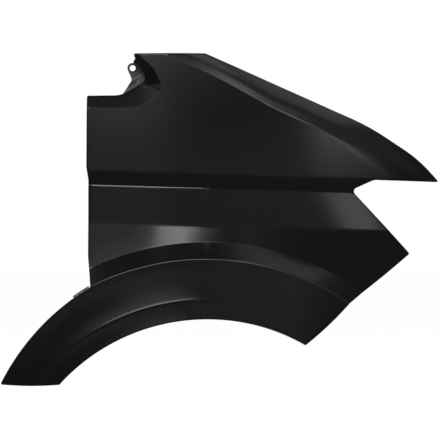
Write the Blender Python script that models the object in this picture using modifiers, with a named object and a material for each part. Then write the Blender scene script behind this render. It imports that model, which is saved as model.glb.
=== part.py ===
# Front wing of a van, right-hand side, pressed from one steel sheet, with two spot-welded brackets.
# Metres. +X points to the front of the vehicle, +Z up and +Y inboard, so the outer face looks to -Y.
# While it is drawn, x is measured from the door edge, z from the waist ledge at the door edge, and
# y from the skin there. At the end everything moves so that the origin lies on the door flange.

import bpy
import bmesh
import numpy as np
from math import atan2, ceil, cos, pi, radians, sin, tan
from mathutils import Vector
from mathutils.geometry import delaunay_2d_cdt

# Sheet and folds
SHEET_THICKNESS = 0.0008
BEND_RADIUS = 0.0018
CORNER_RADIUS = 0.0033

# Flanges: how far each one is turned inboard
DOOR_FLANGE = 0.022
TAIL_FLANGE = 0.014
TAIL_BASE_FLANGE = 0.018
LIP_FLANGE = 0.017
FLARE_END_FLANGE = 0.014
BUMPER_FLANGE = 0.018
LAMP_FLANGE = 0.015
NOTCH_FLANGE = 0.012
BONNET_FLANGE = 0.030
TOP_FLANGE = 0.016
COWL_FLANGE = 0.0065
RELIEF_FLANGE = 0.005
RELIEF_LENGTH = 0.014
GUTTER_STEP = 0.0045

# Wheel arch, as circles round the axle line
ARCH_CENTRE_X = 0.247
ARCH_CENTRE_Z = -0.691
ARCH_RADIUS = 0.4097
LIP_WIDTH = 0.0413
FLARE_FACE_WIDTH = 0.0835
FLARE_SLOPE_WIDTH = 0.0355
FLARE_OUT_REAR = 0.042
FLARE_OUT_FRONT = 0.027
FLARE_TURN_START_X = 0.25
FLARE_TURN_END_X = 0.58
FLARE_END_ANGLE = 59.4
FLARE_CORNER_ANGLE = 55.3
FLARE_END_BOW = 0.003
FLARE_CREASE_SOFTNESS = 0.0025
FLARE_BLEND_SOFTNESS = 0.0025
SCOOP_LIFT = 0.011
SCOOP_ENTRY = 0.05
SCOOP_FADE_START_X = 0.255
SCOOP_FADE_END_X = 0.36
SCOOP_TAIL_START_X = -0.14
SCOOP_TAIL_END_X = -0.03
FLARE_PLAIN_SLOPE = 0.07

# Tail behind the wheel arch
TAIL_BASE_Z = -0.4165
TAIL_BASE_BULGE = 0.0028
TAIL_TIP_X = -0.1810
TAIL_BACK_BOW = 0.0198

# Door edge
DOOR_TOP_DROP = 0.0896
DOOR_STEP_BACK = 0.0040
DOOR_FOOT_LEAD = 0.0062
DOOR_JOG_TOP = 0.036
DOOR_JOG_BASE = 0.010
DOOR_FLAT_LENGTH = 0.150

# Cowl cut-out and the band recessed round it: drops are measured from the top edge's rear end
CUTOUT_LENGTH = 0.0665
CUTOUT_RADIUS = 0.048
CUTOUT_FLOOR_RISE = 0.001
CUTOUT_CORNER_X = 0.125
CUTOUT_CORNER_DROP = 0.0551
CUTOUT_CORNER_RADIUS = 0.016
CUTOUT_BROW_X = 0.1030
CUTOUT_BROW_DROP = 0.0236
CUTOUT_BROW_RADIUS = 0.006
CUTOUT_EAR_X = 0.0920
CUTOUT_EAR_DROP = 0.0194
CUTOUT_EAR_RADIUS = 0.0028
CUTOUT_SHOULDER_X = 0.0972
CUTOUT_SHOULDER_DROP = 0.0104
CUTOUT_SHOULDER_RADIUS = 0.004
RECESS_BAND = 0.026
RECESS_BEND_X = 0.118
RECESS_RADIUS = 0.095
RECESS_CORNER_X = 0.1565
RECESS_CORNER_DROP = 0.0726
RECESS_CORNER_RADIUS = 0.022
RECESS_SHOULDER_X = 0.1345
RECESS_SHOULDER_DROP = 0.0291
RECESS_SHOULDER_RADIUS = 0.040
RECESS_TOP_X = 0.1005
RECESS_RUN_OUT = 0.08
RECESS_SLOPE = 0.40

# Top edge and bonnet edge: runs are measured forward from one bend to the next
TOP_REAR_X = 0.093
TOP_REAR_DROP = 0.0019
TOP_FRONT_X = 0.2445
TOP_FRONT_Z = 0.2785
TOP_CORNER_RADIUS = 0.012
BONNET_RUN = 0.3525
BONNET_BEND_Z = 0.12657
BONNET_BEND_SOFTNESS = 0.040
BONNET_FRONT_RUN = 0.112
BONNET_NOSE_Z = 0.05601
BONNET_NOSE_SOFTNESS = 0.030
BONNET_NOSE_RUN = 0.0465
TIP_Z = 0.00672

# Headlamp side: setbacks are measured rearward from the tip
NOTCH_LINE_Z = 0.0078
NOTCH_CORNER_RADIUS = 0.008
NOTCH_BREAK_SETBACK = 0.1495
NOTCH_BREAK_Z = 0.0112
NOTCH_BREAK_RADIUS = 0.025
NOTCH_FOOT_SETBACK = 0.1993
NOTCH_FOOT_Z = -0.0107
FRONT_CORNER_SETBACK = 0.0705
FRONT_CORNER_Z = -0.147
BUMPER_BOW = 0.0015

# Side of the body: folds measured from the waist ledge
WAIST_FALL = 0.030
RIDGE_HEIGHT = 0.029
CREASE_DROP = 0.079
LEDGE_STEP = 0.0035
LEDGE_RISE = 0.0026
LEDGE_FADE_START_X = 0.17
LEDGE_FADE_END_X = 0.40
LEDGE_SOFTNESS = 0.0012
FOLD_SOFTNESS = 0.004
BAND_SLOPE = 0.25
SIDE_SLOPE = 0.07
SIDE_CROWN_RADIUS = 1.6667
MIDDLE_SLOPE_REAR = 0.02
MIDDLE_SLOPE_FRONT = 0.21
MIDDLE_TURN_START_X = 0.38
MIDDLE_TURN_END_X = 0.62
LOWER_SLOPE_TAIL = 0.15
LOWER_TAIL_START_X = 0.085
LOWER_TAIL_END_X = 0.165
LOWER_SLOPE_REAR = 0.287
LOWER_SLOPE_FRONT = -0.14
LOWER_TURN_START_X = 0.20
LOWER_TURN_END_X = 0.46
COVE_WIDTH = 0.040
COVE_RADIUS = 0.30

# Plan shape: how far the front curves inboard
PLAN_DEPTH = 0.200
PLAN_LENGTH = 0.750
PLAN_POWER = 2.6

# Shoulder under the bonnet edge
SHOULDER_DROP = 0.055
SHOULDER_ROLL = 0.040
SHOULDER_SLOPE = 0.36
SHOULDER_ROLL_RADIUS = 0.050
SHOULDER_START_X = 0.23
SHOULDER_FULL_X = 0.42
SHOULDER_MELT_START_X = 0.53
SHOULDER_MELT_END_X = 0.66
SHOULDER_SOFTNESS = 0.003
SHOULDER_REAR_SOFTNESS = 0.010
SHOULDER_FRONT_SOFTNESS = 0.022

# Bolt holes
DOOR_HOLE_RADIUS = 0.0050
BONNET_HOLE_RADIUS = 0.0045
BONNET_SLOT_LENGTH = 0.006
BONNET_HOLE_COUNT = 4
LIP_HOLE_RADIUS = 0.0040
LIP_HOLE_COUNT = 5
FRONT_HOLE_RADIUS = 0.0042
BUMPER_SLOT_LENGTH = 0.005
TAIL_SLOT_LENGTH = 0.006
PUNCH_DEPTH = 0.012

# Brackets
BRACKET_THICKNESS = 0.0015
WELD_GAP = 0.0003
COWL_PLATE_DEPTH = 0.026
COWL_FOOT_DEPTH = 0.009
COWL_FOOT_WRAP = 0.0055
COWL_BEND_ACROSS = 0.0165
COWL_BEND_START = 0.0227
COWL_SIDE_ALONG = 0.0608
COWL_WEB_ALONG = 0.0525
COWL_SIDE_ACROSS = 0.0418
COWL_NECK_ALONG = 0.0248
COWL_NECK_ACROSS = 0.0232
COWL_HOLE_ALONG = 0.0375
COWL_HOLE_ACROSS = 0.0389
COWL_TONGUE_RADIUS = 0.0110
COWL_HOLE_RADIUS = 0.0065
COWL_BEND_RADIUS = 0.0020
SILL_BRACKET_LENGTH = 0.038
SILL_BRACKET_INSET = 0.0005
SILL_RISE = 0.0023
SILL_FOOT_DEPTH = 0.0085
SILL_SHELF_DEPTH = 0.020
SILL_HOLE_RADIUS = 0.0040

# Mesh spacing along the folds and between them
FOLD_PITCH = 0.016
FIELD_PITCH = 0.022

# Edges of the flare, and heights that follow the top edge
RIDGE_RADIUS = ARCH_RADIUS + LIP_WIDTH
CREASE_RADIUS = RIDGE_RADIUS + FLARE_FACE_WIDTH
BLEND_RADIUS = CREASE_RADIUS + FLARE_SLOPE_WIDTH
TOP_REAR_Z = TOP_FRONT_Z - TOP_REAR_DROP
DOOR_HEIGHT = TOP_REAR_Z - DOOR_TOP_DROP
CUTOUT_CORNER_Z = TOP_REAR_Z - CUTOUT_CORNER_DROP
CUTOUT_BROW_Z = TOP_REAR_Z - CUTOUT_BROW_DROP
CUTOUT_EAR_Z = TOP_REAR_Z - CUTOUT_EAR_DROP
CUTOUT_SHOULDER_Z = TOP_REAR_Z - CUTOUT_SHOULDER_DROP
RECESS_CORNER_Z = TOP_REAR_Z - RECESS_CORNER_DROP
RECESS_SHOULDER_Z = TOP_REAR_Z - RECESS_SHOULDER_DROP

# Bends of the bonnet edge and the slopes between them
BONNET_BEND_X = TOP_FRONT_X + BONNET_RUN
BONNET_NOSE_X = BONNET_BEND_X + BONNET_FRONT_RUN
TIP_X = BONNET_NOSE_X + BONNET_NOSE_RUN
NOTCH_BREAK_X = TIP_X - NOTCH_BREAK_SETBACK
NOTCH_FOOT_X = TIP_X - NOTCH_FOOT_SETBACK
FRONT_CORNER_X = TIP_X - FRONT_CORNER_SETBACK
BONNET_FALL = (TOP_FRONT_Z - BONNET_BEND_Z) / BONNET_RUN
BONNET_FALL_FRONT = (BONNET_BEND_Z - BONNET_NOSE_Z) / BONNET_FRONT_RUN
BONNET_FALL_NOSE = (BONNET_NOSE_Z - TIP_Z) / BONNET_NOSE_RUN
LEDGE_ROWS = [LEDGE_SOFTNESS * 0.83, -LEDGE_RISE * 1.15]
RIDGE_ROWS = [RIDGE_RADIUS + LIP_WIDTH * 0.024, RIDGE_RADIUS - LIP_WIDTH * 0.097]
DATUM_DROP = DOOR_FLAT_LENGTH / 2 + DOOR_JOG_BASE
PATH_STEP = FOLD_PITCH / 16


def ramp(t, soft):
    """Nought below zero and t above it, with a round fold that reaches soft metres to each side."""
    t = np.asarray(t, float)
    bend = (t + soft) ** 2 / (4 * soft)
    return np.where(t <= -soft, 0.0, np.where(t >= soft, t, bend))


def fade(start, end, value):
    """Smooth step from 0 at start to 1 at end."""
    u = np.clip((np.asarray(value, float) - start) / (end - start), 0.0, 1.0)
    return u * u * (3 - 2 * u)


def bonnet_line(x):
    """Height of the bonnet edge: a long straight fall that steepens twice on the way to the tip."""
    x = np.asarray(x, float)
    straight = TOP_FRONT_Z - BONNET_FALL * (x - TOP_FRONT_X)
    first = (BONNET_FALL_FRONT - BONNET_FALL) * ramp(x - BONNET_BEND_X, BONNET_BEND_SOFTNESS)
    nose = (BONNET_FALL_NOSE - BONNET_FALL_FRONT) * ramp(x - BONNET_NOSE_X, BONNET_NOSE_SOFTNESS)
    return straight - first - nose


def waist_height(x, z):
    return z + WAIST_FALL * x


def arch_reach(x, z):
    return np.hypot(x - ARCH_CENTRE_X, z - ARCH_CENTRE_Z)


def plan_depth(x):
    return PLAN_DEPTH * (np.maximum(x, 0.0) / PLAN_LENGTH) ** PLAN_POWER


def side_depth(x, z):
    """Upright section: leaning upper side, ridge, undercut band, stepped ledge and lower body."""
    h = waist_height(x, z)
    upper = -BAND_SLOPE * ramp(h, LEDGE_SOFTNESS)
    upper = upper + (BAND_SLOPE + SIDE_SLOPE) * ramp(h - RIDGE_HEIGHT, FOLD_SOFTNESS)
    upper = upper + np.maximum(h - RIDGE_HEIGHT, 0.0) ** 2 / (2 * SIDE_CROWN_RADIUS)
    step = LEDGE_STEP * (1 - fade(LEDGE_FADE_START_X, LEDGE_FADE_END_X, x)) * fade(0.0, LEDGE_RISE, -h)
    turn = fade(MIDDLE_TURN_START_X, MIDDLE_TURN_END_X, x)
    middle = MIDDLE_SLOPE_REAR + (MIDDLE_SLOPE_FRONT - MIDDLE_SLOPE_REAR) * turn
    past = fade(LOWER_TAIL_START_X, LOWER_TAIL_END_X, x)
    turn = fade(LOWER_TURN_START_X, LOWER_TURN_END_X, x)
    lower = LOWER_SLOPE_TAIL + (LOWER_SLOPE_REAR - LOWER_SLOPE_TAIL) * past
    lower = lower + (LOWER_SLOPE_FRONT - LOWER_SLOPE_REAR) * turn
    cove = np.maximum(BLEND_RADIUS + COVE_WIDTH - arch_reach(x, z), 0.0) ** 2 / (2 * COVE_RADIUS)
    upper = upper - cove * (1 - past)
    skirt = middle * ramp(-h, LEDGE_SOFTNESS) + (lower - middle) * ramp(-h - CREASE_DROP, FOLD_SOFTNESS)
    return upper - step - skirt


def shoulder_depth(x, z):
    """Roll-over under the bonnet edge, over a crease that grows towards the front and melts at the nose."""
    below = bonnet_line(x) - z
    grow = fade(SHOULDER_START_X, SHOULDER_FULL_X, x)
    melt = fade(SHOULDER_MELT_START_X, SHOULDER_MELT_END_X, x)
    softness = SHOULDER_SOFTNESS + SHOULDER_REAR_SOFTNESS * (1 - grow) + SHOULDER_FRONT_SOFTNESS * melt
    crease = SHOULDER_SLOPE * grow * (1 - 0.22 * melt) * ramp(SHOULDER_DROP - below, softness)
    roll = np.maximum(SHOULDER_ROLL - below, 0.0) ** 2 / (2 * SHOULDER_ROLL_RADIUS)
    return crease + roll * (1 - 0.7 * melt)


def flare_depth(x, z):
    """Outer face of the flare: scooped between crease and second ridge, then the lip."""
    reach = arch_reach(x, z)
    turn = fade(FLARE_TURN_START_X, FLARE_TURN_END_X, x)
    out = FLARE_OUT_REAR + (FLARE_OUT_FRONT - FLARE_OUT_REAR) * turn
    inward = np.maximum(CREASE_RADIUS - reach, 0.0)
    plain = FLARE_PLAIN_SLOPE * inward
    across = np.clip(inward / FLARE_FACE_WIDTH, 0.0, 1.0)
    entry = SCOOP_ENTRY * FLARE_FACE_WIDTH
    scoop = (SCOOP_LIFT + entry) * across ** 2 - entry * across
    lip = np.clip((RIDGE_RADIUS - reach) / LIP_WIDTH, 0.0, 1.0)
    scoop = scoop + (0.10 * lip ** 2 - 0.09 * lip) * LIP_WIDTH
    strength = 1 - fade(SCOOP_FADE_START_X, SCOOP_FADE_END_X, x)
    strength = strength * (0.35 + 0.65 * fade(SCOOP_TAIL_START_X, SCOOP_TAIL_END_X, x))
    return plan_depth(x) - out - plain - (scoop - plain) * strength


def recess_boundary():
    """Line where the side folds into the band round the cut-out, from behind the door to above the top."""
    level = DOOR_HEIGHT - RECESS_BAND
    corners = [
        (Vector((-2 * RECESS_CORNER_X, level)), 0.0),
        (Vector((RECESS_BEND_X, level)), RECESS_RADIUS),
        (Vector((RECESS_CORNER_X, RECESS_CORNER_Z)), RECESS_CORNER_RADIUS),
        (Vector((RECESS_SHOULDER_X, RECESS_SHOULDER_Z)), RECESS_SHOULDER_RADIUS),
        (Vector((RECESS_TOP_X, TOP_REAR_Z)), 0.0),
        (Vector((RECESS_TOP_X - RECESS_RUN_OUT * 0.875, TOP_REAR_Z + RECESS_RUN_OUT)), 0.0),
    ]
    edges = [straight_edge(corners[i][0], corners[i + 1][0]) for i in range(len(corners) - 1)]
    points, _ = join_edges(edges, [radius for _, radius in corners[1:]], closed=False)
    return np.array(points[::4] + points[-1:])


def beyond_line(line, x, z):
    """Signed distance from an open line, positive on its left-hand side."""
    x = np.atleast_1d(np.asarray(x, float))
    z = np.atleast_1d(np.asarray(z, float))
    best = np.full(x.shape, 1e9)
    signed = np.zeros(x.shape)
    for (x0, z0), (x1, z1) in zip(line[:-1], line[1:]):
        length = np.hypot(x1 - x0, z1 - z0)
        ux, uz = (x1 - x0) / length, (z1 - z0) / length
        along = np.clip((x - x0) * ux + (z - z0) * uz, 0.0, length)
        away = np.hypot(x - x0 - along * ux, z - z0 - along * uz)
        side = np.where(ux * (z - z0) - uz * (x - x0) >= 0, 1.0, -1.0)
        nearer = away < best
        best = np.where(nearer, away, best)
        signed = np.where(nearer, side * away, signed)
    return signed


def skin_depth(x, z):
    """Depth of the outer skin at side-view points: the body, with the flare rising out of it."""
    x = np.atleast_1d(np.asarray(x, float))
    z = np.atleast_1d(np.asarray(z, float))
    body = plan_depth(x) + side_depth(x, z) + shoulder_depth(x, z)
    body = body + RECESS_SLOPE * ramp(beyond_line(RECESS_LINE, x, z), FOLD_SOFTNESS)
    reach = arch_reach(x, z)
    rise = ramp(BLEND_RADIUS - reach, FLARE_BLEND_SOFTNESS)
    rise = rise - ramp(CREASE_RADIUS - reach, FLARE_CREASE_SOFTNESS)
    share = rise / FLARE_SLOPE_WIDTH
    return body * (1 - share) + flare_depth(x, z) * share


def depth_at(point):
    return float(skin_depth(point[0], point[1])[0])


def straight_edge(start, end):
    """Points of a straight edge, close enough together to be trimmed and measured along."""
    steps = max(2, ceil((end - start).length / PATH_STEP))
    return [start.lerp(end, i / steps) for i in range(steps + 1)]


def arc_edge(centre, radius, start, end):
    """Arc about a centre, from one angle to the other in radians."""
    steps = max(2, ceil(abs(end - start) * radius / PATH_STEP))
    angles = [start + (end - start) * i / steps for i in range(steps + 1)]
    return [centre + Vector((cos(a), sin(a))) * radius for a in angles]


def bowed_edge(start, end, bow):
    """Shallow arc from start to end that stands bow metres out to the left of the straight line."""
    if abs(bow) < 1e-6:
        return straight_edge(start, end)
    chord = end - start
    left = Vector((-chord.y, chord.x)).normalized()
    radius = (chord.length_squared / 4 + bow * bow) / (2 * abs(bow))
    side = 1 if bow > 0 else -1
    centre = (start + end) / 2 + left * (bow - side * radius)
    first = atan2(start.y - centre.y, start.x - centre.x)
    last = atan2(end.y - centre.y, end.x - centre.x)
    sweep = (last - first + pi) % (2 * pi) - pi
    return arc_edge(centre, radius, first, first + sweep)


def bonnet_edge(start_x, end_x):
    steps = ceil(abs(end_x - start_x) / PATH_STEP)
    xs = [start_x + (end_x - start_x) * i / steps for i in range(steps + 1)]
    return [Vector((x, float(bonnet_line(x)))) for x in xs]


def join_edges(edges, radii, closed):
    """Joins edges end to end with rounded corners. radii[i] rounds the corner at the end of edge i,
    or as much of it as the edges leave room for.

    Returns the points and, for each edge, its first and last point's index."""
    count = len(edges)
    last = count if closed else count - 1
    halves, cuts = [0.0] * count, [0.0] * count
    for i in range(last):
        before, after = edges[i], edges[(i + 1) % count]
        halves[i] = (before[-4] - before[-1]).angle(after[3] - before[-1]) / 2
        if radii[i] > 0 and halves[i] < 1.55:
            cuts[i] = radii[i] / tan(halves[i])
    fits = []
    for i, edge in enumerate(edges):
        wanted = cuts[i - 1] + cuts[i]
        fits.append(min(1.0, 0.97 * (edge[-1] - edge[0]).length / wanted) if wanted > 0 else 1.0)
    trimmed = [list(edge) for edge in edges]
    arcs = [[] for _ in edges]
    for i in range(last):
        before, after = edges[i], edges[(i + 1) % count]
        cut = cuts[i] * min(fits[i], fits[(i + 1) % count])
        if cut <= 0:
            continue
        corner = before[-1]
        radius = cut * tan(halves[i])
        back = (before[-4] - corner).normalized()
        ahead = (after[3] - corner).normalized()
        clear = cut + PATH_STEP * 0.3
        trimmed[i] = [p for p in trimmed[i] if (p - corner).length >= clear]
        trimmed[(i + 1) % count] = [p for p in trimmed[(i + 1) % count] if (p - corner).length >= clear]
        centre = corner + (back + ahead).normalized() * (radius / sin(halves[i]))
        first = corner + back * cut - centre
        end = corner + ahead * cut - centre
        start = atan2(first.y, first.x)
        sweep = (atan2(end.y, end.x) - start + pi) % (2 * pi) - pi
        steps = max(6, ceil(abs(sweep) * radius / PATH_STEP))
        turn = [start + sweep * k / steps for k in range(steps + 1)]
        arcs[i] = [centre + Vector((cos(a), sin(a))) * radius for a in turn]
    points, spans = [], []
    for i in range(count):
        first = len(points)
        points += trimmed[i]
        spans.append((first, len(points) - 1))
        points += arcs[i]
        if not arcs[i] and (closed or i < count - 1):
            points.pop()
            spans[-1] = (first, len(points) - 1)
    return points, spans


class Outline:
    """The trimmed edge of the skin in side view, anticlockwise as seen from outside."""

    def __init__(self, parts):
        edges = [part["edge"] for part in parts]
        points, spans = join_edges(edges, [part["radius"] for part in parts], closed=True)
        points = points + [points[0]]
        self.parts = parts
        self.points = np.array([tuple(p) for p in points])
        gaps = np.hypot(*np.diff(self.points, axis=0).T)
        self.reach = np.concatenate([[0.0], np.cumsum(gaps)])
        self.length = self.reach[-1]
        self.spans = {
            part["name"]: (self.reach[a], self.reach[b]) for part, (a, b) in zip(parts, spans)
        }
        self.corners = [(self.reach[b], self.reach[(b + 1) % len(self.points)]) for _, b in spans]

    def at(self, s):
        s = np.mod(s, self.length)
        return Vector([np.interp(s, self.reach, self.points[:, k]) for k in (0, 1)])

    def inward(self, s, span=PATH_STEP * 0.9):
        """Unit vector square to the edge, pointing into the sheet."""
        heading = self.at(s + span) - self.at(s - span)
        return Vector((-heading.y, heading.x)).normalized()

    def along(self, name, share):
        first, last = self.spans[name]
        return first + (last - first) * share

    def edge_value(self, s, key, relief, length):
        """A flange size at s, run down to its relief value towards the ends of its edge."""
        for part in self.parts:
            first, last = self.spans[part["name"]]
            if first <= s <= last:
                start = 1.0 if part.get("open_start") else fade(0.0, length, s - first)
                end = 1.0 if part.get("open_end") else fade(0.0, length, last - s)
                return relief + (part.get(key, relief) - relief) * float(start * end)
        return relief


def wing_outline():
    """Every edge of the skin, starting at the door edge's top and going round by the tail."""
    arch = Vector((ARCH_CENTRE_X, ARCH_CENTRE_Z))
    top = Vector((-DOOR_STEP_BACK, DOOR_HEIGHT))
    foot_x = DOOR_FOOT_LEAD
    foot = Vector((foot_x, ARCH_CENTRE_Z + (CREASE_RADIUS ** 2 - (foot_x - ARCH_CENTRE_X) ** 2) ** 0.5))
    tail_tip = Vector((TAIL_TIP_X, TAIL_BASE_Z))
    lip_run = (ARCH_RADIUS ** 2 - (TAIL_BASE_Z - ARCH_CENTRE_Z) ** 2) ** 0.5
    lip_rear = Vector((ARCH_CENTRE_X - lip_run, TAIL_BASE_Z))
    rear_angle = atan2(lip_rear.y - arch.y, lip_rear.x - arch.x)
    end_angle = radians(FLARE_END_ANGLE)
    lip_front = arch + Vector((cos(end_angle), sin(end_angle))) * ARCH_RADIUS
    flare_angle = radians(FLARE_CORNER_ANGLE)
    flare_corner = arch + Vector((cos(flare_angle), sin(flare_angle))) * CREASE_RADIUS
    front = Vector((FRONT_CORNER_X, FRONT_CORNER_Z))
    notch_foot = Vector((NOTCH_FOOT_X, NOTCH_FOOT_Z))
    notch_break = Vector((NOTCH_BREAK_X, NOTCH_BREAK_Z))
    tip = Vector((TIP_X, float(bonnet_line(TIP_X))))
    top_front = Vector((TOP_FRONT_X, TOP_FRONT_Z))
    top_rear = Vector((TOP_REAR_X, TOP_REAR_Z))
    shoulder = Vector((CUTOUT_SHOULDER_X, CUTOUT_SHOULDER_Z))
    ear = Vector((CUTOUT_EAR_X, CUTOUT_EAR_Z))
    brow = Vector((CUTOUT_BROW_X, CUTOUT_BROW_Z))
    hook = Vector((CUTOUT_CORNER_X, CUTOUT_CORNER_Z))
    floor = Vector((CUTOUT_LENGTH, DOOR_HEIGHT + CUTOUT_FLOOR_RISE))
    jog_high = Vector((-DOOR_STEP_BACK, DOOR_JOG_TOP))
    jog_low = Vector((0.0, DOOR_JOG_BASE))
    flat_end = Vector((0.0, -DOOR_FLAT_LENGTH))
    small = CORNER_RADIUS
    parts = []

    def add(name, edge, flange, radius=small, **more):
        parts.append({"name": name, "edge": edge, "flange": flange, "radius": radius, **more})

    add("door_upper", straight_edge(top, jog_high), DOOR_FLANGE, 0.0, open_end=True)
    add("door_jog", straight_edge(jog_high, jog_low), DOOR_FLANGE, 0.0, open_start=True, open_end=True)
    add("door_flat", straight_edge(jog_low, flat_end), DOOR_FLANGE, 0.0, open_start=True, open_end=True)
    add("door_foot", straight_edge(flat_end, foot), DOOR_FLANGE, open_start=True)
    add("tail_back", bowed_edge(foot, tail_tip, -TAIL_BACK_BOW), TAIL_FLANGE)
    add("tail_base", bowed_edge(tail_tip, lip_rear, -TAIL_BASE_BULGE), TAIL_BASE_FLANGE)
    add("arch_lip", arc_edge(arch, ARCH_RADIUS, rear_angle, end_angle), LIP_FLANGE)
    add("flare_end", bowed_edge(lip_front, flare_corner, -FLARE_END_BOW), FLARE_END_FLANGE)
    add("bumper", bowed_edge(flare_corner, front, -BUMPER_BOW), BUMPER_FLANGE)
    add("lamp_side", straight_edge(front, notch_foot), LAMP_FLANGE, NOTCH_CORNER_RADIUS, open_end=True)
    rise = straight_edge(notch_foot, notch_break)
    add("notch_rise", rise, NOTCH_FLANGE, NOTCH_BREAK_RADIUS, open_start=True, open_end=True)
    add("notch_top", straight_edge(notch_break, Vector((tip.x, NOTCH_LINE_Z))), NOTCH_FLANGE, open_start=True)
    add("bonnet", bonnet_edge(TIP_X, TOP_FRONT_X), BONNET_FLANGE, TOP_CORNER_RADIUS, gutter=GUTTER_STEP)
    add("top", straight_edge(top_front, top_rear), TOP_FLANGE)
    add("cowl_rise", straight_edge(top_rear, shoulder), RELIEF_FLANGE, CUTOUT_SHOULDER_RADIUS)
    add("cowl_ear", straight_edge(shoulder, ear), RELIEF_FLANGE, CUTOUT_EAR_RADIUS)
    add("cowl_brow", straight_edge(ear, brow), RELIEF_FLANGE, CUTOUT_BROW_RADIUS, open_end=True)
    add("cowl_front", straight_edge(brow, hook), COWL_FLANGE, CUTOUT_CORNER_RADIUS, open_end=True)
    weld = straight_edge(hook, floor)
    add("cowl_weld", weld, COWL_FLANGE, CUTOUT_RADIUS, open_start=True, open_end=True)
    add("cowl_floor", straight_edge(floor, top), COWL_FLANGE, open_start=True)
    return Outline(parts)


def either_side(level, softness):
    return [level + softness, level - softness]


def fold_levels():
    """The folds, as a measure over the side view and the values at which a row of points runs."""
    return [
        (lambda p: float(waist_height(p[0], p[1])), either_side(RIDGE_HEIGHT, FOLD_SOFTNESS)),
        (lambda p: float(waist_height(p[0], p[1])), LEDGE_ROWS),
        (lambda p: float(waist_height(p[0], p[1])), either_side(-CREASE_DROP, FOLD_SOFTNESS)),
        (lambda p: float(arch_reach(p[0], p[1])), either_side(BLEND_RADIUS, FLARE_BLEND_SOFTNESS)),
        (lambda p: float(arch_reach(p[0], p[1])), either_side(CREASE_RADIUS, FLARE_CREASE_SOFTNESS)),
        (lambda p: float(arch_reach(p[0], p[1])), RIDGE_ROWS),
        (lambda p: float(bonnet_line(p[0])) - p[1], either_side(SHOULDER_DROP, SHOULDER_SOFTNESS)),
        (lambda p: float(beyond_line(RECESS_LINE, p[0], p[1])[0]), either_side(0.0, FOLD_SOFTNESS)),
    ]


def ring_places(outline):
    """Distances along the outline at which the ring of points lies: even steps, round corners,
    and each place where a fold runs out over the edge."""
    places = []
    for start, end in outline.spans.values():
        steps = max(1, ceil((end - start) / FOLD_PITCH))
        places += [start + (end - start) * i / steps for i in range(steps + 1)]
    spans = sorted(outline.spans.values())
    for (_, end), (start, _) in zip(spans, spans[1:] + [(outline.length, 0.0)]):
        if start - end > PATH_STEP / 2:
            steps = max(3, ceil((start - end) / FOLD_PITCH))
            places += [end + (start - end) * i / steps for i in range(1, steps)]
    crossings = []
    scan = np.linspace(0.0, outline.length, ceil(outline.length / (FOLD_PITCH / 4)) + 1)
    for measure, values in fold_levels():
        seen = [measure(outline.at(s)) for s in scan]
        for value in values:
            for k in range(len(scan) - 1):
                low, high = seen[k] - value, seen[k + 1] - value
                if low * high < 0 and abs(low) + abs(high) < FIELD_PITCH:
                    crossings.append(scan[k] + (scan[k + 1] - scan[k]) * low / (low - high))
    corners = [s for start, end in outline.spans.values() for s in (start, end)]
    kept = list(crossings)
    for s in places:
        fixed = min(abs(s - c) for c in corners) < 1e-9
        room = FOLD_PITCH * (0.075 if fixed else 0.28)
        if min(abs(s - c) for c in crossings) > room:
            kept.append(s)
    kept = sorted(s % outline.length for s in kept)
    return [s for k, s in enumerate(kept) if s - kept[k - 1] > PATH_STEP * 0.7 or k == 0]


def row_candidates():
    """Points along every fold, row by row, with the clearance that each needs from earlier rows."""
    rows = []
    xs = np.arange(-0.6 * FOLD_PITCH, TIP_X, FOLD_PITCH)
    folds = either_side(RIDGE_HEIGHT, FOLD_SOFTNESS) + either_side(-CREASE_DROP, FOLD_SOFTNESS)
    for level in LEDGE_ROWS + folds:
        rows.append([Vector((x, level - WAIST_FALL * x)) for x in xs])
    face = [CREASE_RADIUS - FLARE_FACE_WIDTH * share for share in (0.36, 0.70)]
    for radius in (
        *either_side(CREASE_RADIUS, FLARE_CREASE_SOFTNESS), *either_side(BLEND_RADIUS, FLARE_BLEND_SOFTNESS),
        *RIDGE_ROWS, *face, RIDGE_RADIUS - LIP_WIDTH * 0.6,
    ):
        count = ceil(pi * radius / FOLD_PITCH)
        turn = [pi * i / count for i in range(count + 1)]
        rows.append([Vector((ARCH_CENTRE_X + radius * cos(a), ARCH_CENTRE_Z + radius * sin(a))) for a in turn])
    roll = [SHOULDER_ROLL, SHOULDER_ROLL * 0.6, SHOULDER_ROLL * 0.25]
    for drop in either_side(SHOULDER_DROP, SHOULDER_SOFTNESS) + roll:
        rows.append([Vector((x, float(bonnet_line(x)) - drop)) for x in xs])
    heading = np.gradient(RECESS_LINE, axis=0)
    heading = heading / np.hypot(heading[:, :1], heading[:, 1:])
    left = np.c_[-heading[:, 1], heading[:, 0]]
    step = max(1, round(FOLD_PITCH / (4 * PATH_STEP)))
    for offset in (-FOLD_SOFTNESS, FOLD_SOFTNESS, 3.5 * FOLD_SOFTNESS):
        rows.append([Vector(p) for p in (RECESS_LINE + left * offset)[::step]])
    return rows


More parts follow.
